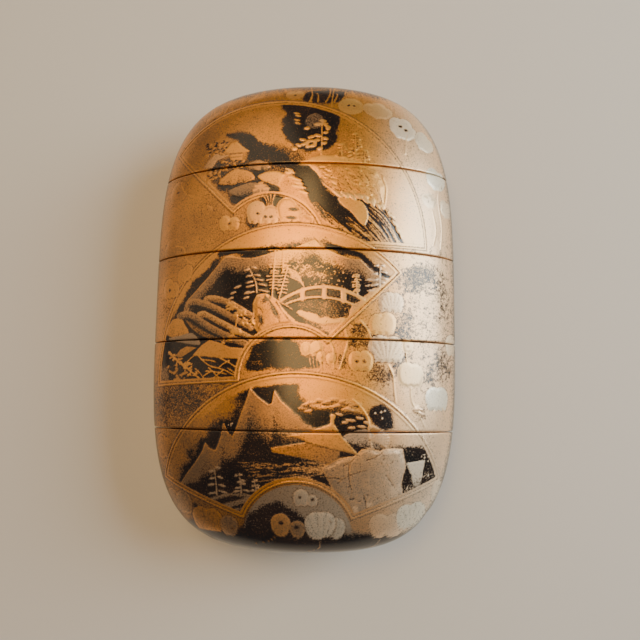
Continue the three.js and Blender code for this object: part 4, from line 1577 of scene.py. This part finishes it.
@lru_cache(maxsize=None)
def back_sheet():
    """The plainer back: the same blooms and vines on the gold ground."""
    sheet = Sheet(11)
    paint_ground(sheet)
    for strand in range(4):
        start = -21.0 + 13.6 * strand
        rise = [(start + 3.0 * math.sin(0.9 * n + strand), -37 + 8.2 * n) for n in range(10)]
        vine(sheet, rise, 0.34, 0.75)
        for n, (u, v) in enumerate(rise[:-1]):
            side = 1 if (n + strand) % 2 else -1
            silver = 0.8 if (n + strand) % 5 == 0 else 0.1
            if (n + 2 * strand) % 3:
                bloom(
                    sheet, u + side * 3.0, v + 2.2, 5.0, 1 + n % 3, side * 0.4, 0.45, 0.78, silver, silver,
                    2 * (n % 2),
                )
            leaf(sheet, u - side * 1.4, v + 1.2, 2.2, 0.7 * side, 0.7)
    for u, v, wide, tall in ((0, 0, 7, 22), (-14, 20, 6, 6), (16, -22, 7, 5), (20, 12, 4, 8)):
        worn(sheet, u, v, wide, tall, 0.6)
    rubs_and_painted_light(sheet)
    return sheet


# ---------------------------------------------------------------------------------------------
# The pieces.

TIP = 0.49  # an end beyond this share of the length is a closed tip and not a seam
NEAR_TIP = 0.44  # rows are wider apart beyond this share of the length
TIP_STEP = 2.6  # how much wider
RING_WIDTHS = 1.62  # columns of faces round a piece, times their spacing, in widths of the inro
SHARP_ANGLE = math.radians(52)
FEWEST_FACES = 1000


def ridge_table(sizes):
    """Heights from the middle to the tip, and the length of the ridge up to each."""
    place = np.sin(np.linspace(0, math.pi / 2, 4000)) ** 0.6
    y = place * sizes.length / 2
    z = sizes.thickness / 2 * fullness(place, sizes.profile_along, sizes.profile_across)
    return y, np.concatenate([[0], np.cumsum(np.hypot(np.diff(y), np.diff(z)))])


def along_ridge(y, sizes):
    heights, lengths = ridge_table(sizes)
    return np.sign(y) * np.interp(np.abs(y), heights, lengths)


def height_at(ridge_length, sizes):
    heights, lengths = ridge_table(sizes)
    return np.sign(ridge_length) * np.interp(np.abs(ridge_length), lengths, heights)


def row_heights(bottom, top, step, sizes):
    """Heights and insets of the rows of a piece: a rounded edge at a seam, wider steps to a tip."""
    rounding = sizes.seam_ease * (1 - np.cos(np.linspace(0, math.pi / 2, 4)))
    inset = sizes.seam_ease * (1 - np.sin(np.linspace(0, math.pi / 2, 4)))
    low, high = along_ridge(np.array([bottom, top]), sizes)
    tip_zone = along_ridge(NEAR_TIP * sizes.length, sizes)
    lengths = [low]
    while lengths[-1] < high - step:
        lengths.append(lengths[-1] + step * (TIP_STEP if abs(lengths[-1]) > tip_zone else 1))
    heights = height_at(np.array(lengths[1:]), sizes)
    heights = heights[(heights > bottom + 1.5 * sizes.seam_ease) & (heights < top - 1.5 * sizes.seam_ease)]
    rows = [(y, 0.0) for y in heights]
    if bottom > -TIP * sizes.length:
        rows = [*zip(bottom + rounding, inset), *rows]
    if top < TIP * sizes.length:
        rows = [*rows, *zip(top - rounding[::-1], inset[::-1])]
    return np.array(rows)


def column_turns(step, sizes):
    """Turns round the ring from the front ridge: close together on the front, wider on the back."""
    turn = np.linspace(0, math.pi / 2, 2000)
    x = sizes.width / 2 * np.sin(turn)
    z = sizes.thickness / 2 * lens(np.cos(turn))
    arc = np.concatenate([[0], np.cumsum(np.hypot(np.diff(x), np.diff(z)))])
    front = np.interp(np.linspace(0, arc[-1], round(arc[-1] / step) + 1), arc, turn)
    back = math.pi - np.interp(np.linspace(arc[-1], 0, round(arc[-1] / step / 2) + 1), arc, turn)
    right = np.concatenate([front, back[1:]])
    return np.concatenate([right, -right[-2:0:-1]])


def paint_places(heights, turns, sizes):
    """Where each vertex lies on the sheets: u, v, whether it is on the front, and how near the side."""
    half_width, half_thickness = outer_half_sizes(heights[:, None], sizes)
    order = np.argsort(turns)
    sorted_turns = turns[order]
    x = half_width * np.sin(sorted_turns)
    z = half_thickness * np.sign(np.cos(sorted_turns)) * lens(np.abs(np.cos(sorted_turns)))
    arc = np.cumsum(
        np.hypot(np.diff(x, axis=1, prepend=x[:, :1]), np.diff(z, axis=1, prepend=z[:, :1])), axis=1,
    )
    arc = arc - arc[:, [int(np.argmin(np.abs(sorted_turns)))]]
    half = np.array([np.interp(math.pi / 2, sorted_turns, row) for row in arc])[:, None]
    on_front = np.abs(arc) <= half
    across = np.where(on_front, arc, np.sign(arc) * (2 * half - np.abs(arc)))
    u = np.empty_like(across)
    u[:, order] = across
    front = np.empty(u.shape, bool)
    front[:, order] = on_front
    v = np.repeat(along_ridge(heights, sizes)[:, None], len(turns), 1)
    return u / MM, v / MM, front, (half - np.abs(u)) / MM


def painted_layers(heights, turns, sizes):
    """Each layer of the lacquer work at each vertex of the outer skin."""
    u, v, front, from_side = paint_places(heights, turns, sizes)
    tip = along_ridge(sizes.length / 2, sizes) / MM
    sides = ease(from_side, 0.4, 3.6)
    ends = ease(tip - np.abs(v), 0.5, 6.0)
    layers = {}
    for name in LAYERS:
        layers[name] = np.where(front, front_sheet().at(name, u, v), back_sheet().at(name, -u, v))
    # Painted shade: the gold thins and dulls towards the sides, where the form turns from the light, and in
    # the same way towards the tips.
    clear_of_painted_edge_shade = sides * ends
    layers["gold"] = layers["gold"] * (0.12 + 0.88 * clear_of_painted_edge_shade) + 0.16 * (1 - clear_of_painted_edge_shade)
    layers["tone"] = layers["tone"] * (0.5 + 0.5 * clear_of_painted_edge_shade)
    layers["lift"] = layers["lift"] * ease(from_side, 0.6, 2.0) * MM
    return layers


def drum_mesh(name, bottom, top, sizes):
    """A closed drum of unit radius, dense enough for the lacquer work, which its vertices carry."""
    tall = along_ridge(top, sizes) - along_ridge(bottom, sizes)
    step = math.sqrt(RING_WIDTHS * sizes.width * tall / sizes.faces) * 1
    rows = row_heights(bottom, top, step, sizes)
    turns = column_turns(step, sizes)
    heights, insets = rows[:, 0], rows[:, 1]
    places = np.stack(np.broadcast_arrays(np.sin(turns), heights[:, None], np.cos(turns)), -1).reshape(-1, 3)
    ring = np.arange(len(places)).reshape(len(heights), len(turns))
    right = np.roll(ring, -1, axis=1)
    skin = np.stack([ring[:-1], right[:-1], right[1:], ring[1:]], -1).reshape(-1, 4)
    foot, head = len(places), len(places) + 1
    tips = [(0, -sizes.length / 2 if bottom < -TIP * sizes.length else bottom, 0)]
    tips += [(0, sizes.length / 2 if top > TIP * sizes.length else top, 0)]
    caps = [(foot, b, a) for a, b in zip(ring[0], right[0])]
    caps += [(head, a, b) for a, b in zip(ring[-1], right[-1])]
    mesh = bpy.data.meshes.new(name)
    faces = [*skin.tolist(), *[tuple(int(i) for i in face) for face in caps]]
    mesh.from_pydata(np.vstack([places, tips]).tolist(), [], faces)
    layers = painted_layers(heights, turns, sizes)
    layers["inset"] = np.repeat(insets[:, None], len(turns), 1)
    layers["lift"] *= 1 - layers["inset"] / sizes.seam_ease
    for layer, values in layers.items():
        attribute = mesh.attributes.new(layer, "FLOAT", "POINT")
        attribute.data.foreach_set("value", np.append(values.ravel(), [0, 0]).astype(np.float32))
    return mesh


def make_piece(name, bottom, top, properties):
    """Makes one piece of the stack between two seams and lets it stand for its solid."""
    sizes = properties.inro_sizes
    has_socket, has_riser = name in SOCKETED, name != LID
    gap = SEAM_GAP / 2
    low, high = bottom + gap * has_socket, top - gap * has_riser
    piece = bpy.data.objects.new(f"{name}_lacquered", drum_mesh(name, low, high, sizes))
    bpy.context.scene.collection.objects.link(piece)
    outside, inside = maki_e(properties.inro_lacquers), pear_skin(properties.inro_lacquers)
    piece.data.materials.append(outside)
    form = piece.modifiers.new("Form", "NODES")
    form.node_group = PieceTree(f"{name} form", has_socket, has_riser).tree
    given = {key: getattr(sizes, key) for key in PieceTree.SIZE_NAMES}
    given.update(bottom=bottom, top=top, outside=outside, inside=inside)
    for item in form.node_group.interface.items_tree:
        if item.name in given:
            form[item.identifier] = given[item.name]
    shaped = bpy.data.meshes.new_from_object(piece.evaluated_get(bpy.context.evaluated_depsgraph_get()))
    piece.modifiers.remove(form)
    piece.data = shaped
    if len(shaped.polygons) < FEWEST_FACES:
        raise RuntimeError(f"{name} came out empty")
    for helper in ("inset", "inner"):
        if helper in shaped.attributes:
            shaped.attributes.remove(shaped.attributes[helper])
    shaped.shade_smooth()
    shaped.set_sharp_from_angle(angle=SHARP_ANGLE)
    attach(piece, "root")
    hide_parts(name)


# ---------------------------------------------------------------------------------------------
# Finishes.


def new_finish(name):
    """A material with only its output, and the board to build it on."""
    material = bpy.data.materials.new(name)
    material.use_nodes = True
    material.node_tree.nodes.clear()
    return material, Board(material.node_tree)


def layer(board, name):
    return board.node("ShaderNodeAttribute", {"attribute_name": name}, output="Fac")


def blend(board, amount, first, second):
    """A colour between two others."""
    return board.node(
        "ShaderNodeMix", {"data_type": "RGBA"}, {0: amount, 6: first, 7: second}, output=2
    )


def powder(board, place, size, detail=2.0):
    """Fine noise from 0 to 1 with grains about as large as size, in metres."""
    noise = board.node(
        "ShaderNodeTexNoise", {}, {"Vector": place, "Scale": 1 / size, "Detail": detail, "Roughness": 0.6}
    )
    return noise.between(0.28, 0.72)


def paint(value):
    return (*value, 1)


def surface(board, values):
    shader = board.node("ShaderNodeBsdfPrincipled", {}, values)
    board.node("ShaderNodeOutputMaterial", {}, [shader])


@lru_cache(maxsize=None)
def maki_e(colours):
    """Gold and silver powder over black lacquer, sparse or full as the layers say."""
    material, board = new_finish("Maki-e lacquer")
    place = board.node("ShaderNodeTexCoord", {}, {}, output="Object")
    fine, coarse = powder(board, place, 0.24 * MM), powder(board, place, 0.5 * MM)
    patches = powder(board, place, 6 * MM, 3.0)
    speckle = fine * 0.75 + coarse * 0.25
    gold = layer(board, "gold")
    cover = (gold + (speckle - 0.5)).between(0.2, 0.8)
    tone = layer(board, "tone") + (speckle - 0.5) * 0.30 + (patches - 0.5) * 0.16
    metal = board.node(
        "ShaderNodeValToRGB",
        {"stops": [(0.24, colours.dull_gold), (0.62, colours.gold), (0.95, colours.pale_gold)]},
        [tone],
    )
    silver = layer(board, "silver")
    metal = blend(board, silver, metal, paint(colours.silver))
    ground = blend(board, patches, paint(colours.black), paint(colours.brown))
    surface(
        board,
        {
            "Base Color": blend(board, cover, ground, metal),
            "Metallic": cover * (0.86 - silver * 0.45),
            "Roughness": 0.2 + cover * (0.12 + fine * 0.12),
            "Coat Weight": 0.35,
            "Coat Roughness": 0.2,
        },
    )
    return material


@lru_cache(maxsize=None)
def pear_skin(colours):
    """Amber lacquer over scattered gold flakes, for the insides."""
    material, board = new_finish("Pear-skin lacquer")
    place = board.node("ShaderNodeTexCoord", {}, {}, output="Object")
    cells = board.node(
        "ShaderNodeTexVoronoi", {"feature": "F1"}, {
            "Vector": place, "Scale": 1 / (0.5 * MM),
        }, output="Distance"
    )
    flake = cells.between(0.26, 0.16)
    tint = blend(board, powder(board, place, 3 * MM), paint(colours.nashiji), paint(colours.brown))
    surface(
        board,
        {
            "Base Color": blend(board, flake * 0.8, tint, paint(colours.gold)),
            "Metallic": flake * 0.6,
            "Roughness": 0.28,
            "Coat Weight": 0.5,
            "Coat Roughness": 0.08,
        },
    )
    return material


@lru_cache(maxsize=None)
def floor_finish(colours):
    material, board = new_finish("Floor")
    surface(board, {"Base Color": paint(colours.floor), "Roughness": 0.7})
    return material


# ---------------------------------------------------------------------------------------------
# Camera and stage. The camera looks down on the lying inro from about 14 cm up, a little towards
# its foot and to its right.

CAMERA_PLACE = Vector((12.94, -18.08, 138.17)) * MM
CAMERA_TURN = Euler((0.1304, 0.0739, 0.0125))
CAMERA_LENS = 35.8
LAMP_AIM = Vector((0, 0, 0.012))
FLOOR_HALF = 3.0


def add_camera():
    camera = bpy.data.objects.new("Camera", bpy.data.cameras.new("Camera"))
    camera.data.lens = CAMERA_LENS
    camera.data.sensor_width = 36
    camera.data.clip_start = 1 * MM
    camera.location = CAMERA_PLACE
    camera.rotation_euler = CAMERA_TURN
    bpy.context.scene.collection.objects.link(camera)
    bpy.context.scene.camera = camera


def add_floor(colours):
    half = FLOOR_HALF
    mesh = bpy.data.meshes.new("Floor")
    mesh.from_pydata(
        [(-half, -half, 0), (half, -half, 0), (half, half, 0), (-half, half, 0)], [], [(0, 1, 2, 3)],
    )
    mesh.materials.append(floor_finish(colours))
    floor = bpy.data.objects.new("Floor", mesh)
    bpy.context.scene.collection.objects.link(floor)


def add_lamp(name, place, size, power, colour_of_lamp):
    """A soft rectangular lamp that faces the inro. Place and size are in metres."""
    lamp = bpy.data.objects.new(name, bpy.data.lights.new(name, "AREA"))
    lamp.data.shape = "RECTANGLE"
    lamp.data.size, lamp.data.size_y = size
    lamp.data.energy = power
    lamp.data.color = colour_of_lamp
    lamp.location = place
    lamp.rotation_euler = (LAMP_AIM - Vector(place)).to_track_quat("-Z", "Y").to_euler()
    bpy.context.scene.collection.objects.link(lamp)


def add_sky(strength, tint):
    world = bpy.data.worlds.new("Sky")
    world.use_nodes = True
    world.node_tree.nodes["Background"].inputs["Color"].default_value = (*tint, 1)
    world.node_tree.nodes["Background"].inputs["Strength"].default_value = strength
    bpy.context.scene.world = world


# ---------------------------------------------------------------------------------------------
# Operators and panel.


class InroOperator(bpy.types.Operator):
    bl_options = {"REGISTER", "UNDO"}


class INRO_OT_lid(InroOperator):
    """Make the lid, with its socket over the first case's riser"""

    bl_idname = "inro.lid"
    bl_label = "Lid"

    def execute(self, context):
        make_piece(LID, SEAMS[0], context.scene.inro_sizes.length / 2, context.scene)
        return {"FINISHED"}


class INRO_OT_cases(InroOperator):
    """Make the three middle cases, each with a riser and a socket"""

    bl_idname = "inro.cases"
    bl_label = "Middle cases"

    def execute(self, context):
        for name, top, bottom in zip(CASES, SEAMS, SEAMS[1:]):
            make_piece(name, bottom, top, context.scene)
        return {"FINISHED"}


class INRO_OT_bottom_case(InroOperator):
    """Make the bottom case, with its closed foot"""

    bl_idname = "inro.bottom_case"
    bl_label = "Bottom case"

    def execute(self, context):
        make_piece(BOTTOM, -context.scene.inro_sizes.length / 2, SEAMS[-1], context.scene)
        return {"FINISHED"}


class INRO_OT_stage(InroOperator):
    """Set up the floor, the camera and the soft lamps"""

    bl_idname = "inro.stage"
    bl_label = "Stage"

    def execute(self, context):
        stage = context.scene.inro_stage
        add_camera()
        add_floor(stage)
        add_lamp("Warm lamp", (-0.035, 0.09, 0.45), (0.20, 0.28), stage.warm_power, stage.warm)
        add_lamp("Cool lamp", (0.45, 0.12, 0.27), (0.3, 0.35), stage.cool_power, stage.cool)
        add_lamp("Left lamp", (-0.42, 0.05, 0.22), (0.3, 0.35), stage.left_power, stage.fill)
        add_lamp("Fill lamp", (-0.34, 0.46, 0.50), (0.5, 0.4), stage.fill_power, stage.fill)
        add_sky(stage.sky_power, stage.sky)
        return {"FINISHED"}


class INRO_PT_panel(bpy.types.Panel):
    """Lists the inro's sizes, colours and makers"""

    bl_label = "Inro"
    bl_idname = "INRO_PT_panel"
    bl_space_type = "VIEW_3D"
    bl_region_type = "UI"
    bl_category = "Inro"

    def draw(self, context):
        for operator in OPERATORS:
            self.layout.operator(operator.bl_idname)
        for name, group in GROUPS.items():
            box = self.layout.box()
            for key in group.__annotations__:
                box.prop(getattr(context.scene, name), key)


OPERATORS = (INRO_OT_stage, INRO_OT_lid, INRO_OT_cases, INRO_OT_bottom_case)
GROUPS = {"inro_sizes": InroSizes, "inro_lacquers": InroLacquers, "inro_stage": InroStage}


def register():
    for cls in (*GROUPS.values(), *OPERATORS, INRO_PT_panel):
        bpy.utils.register_class(cls)
    for name, group in GROUPS.items():
        setattr(bpy.types.Scene, name, bpy.props.PointerProperty(type=group))


def unregister():
    for name in GROUPS:
        delattr(bpy.types.Scene, name)
    for cls in (INRO_PT_panel, *reversed(OPERATORS), *reversed(GROUPS.values())):
        bpy.utils.unregister_class(cls)


def main():
    register()
    bpy.ops.inro.stage()
    bpy.ops.inro.lid()
    bpy.ops.inro.cases()
    bpy.ops.inro.bottom_case()


if __name__ == "__main__":
    main()
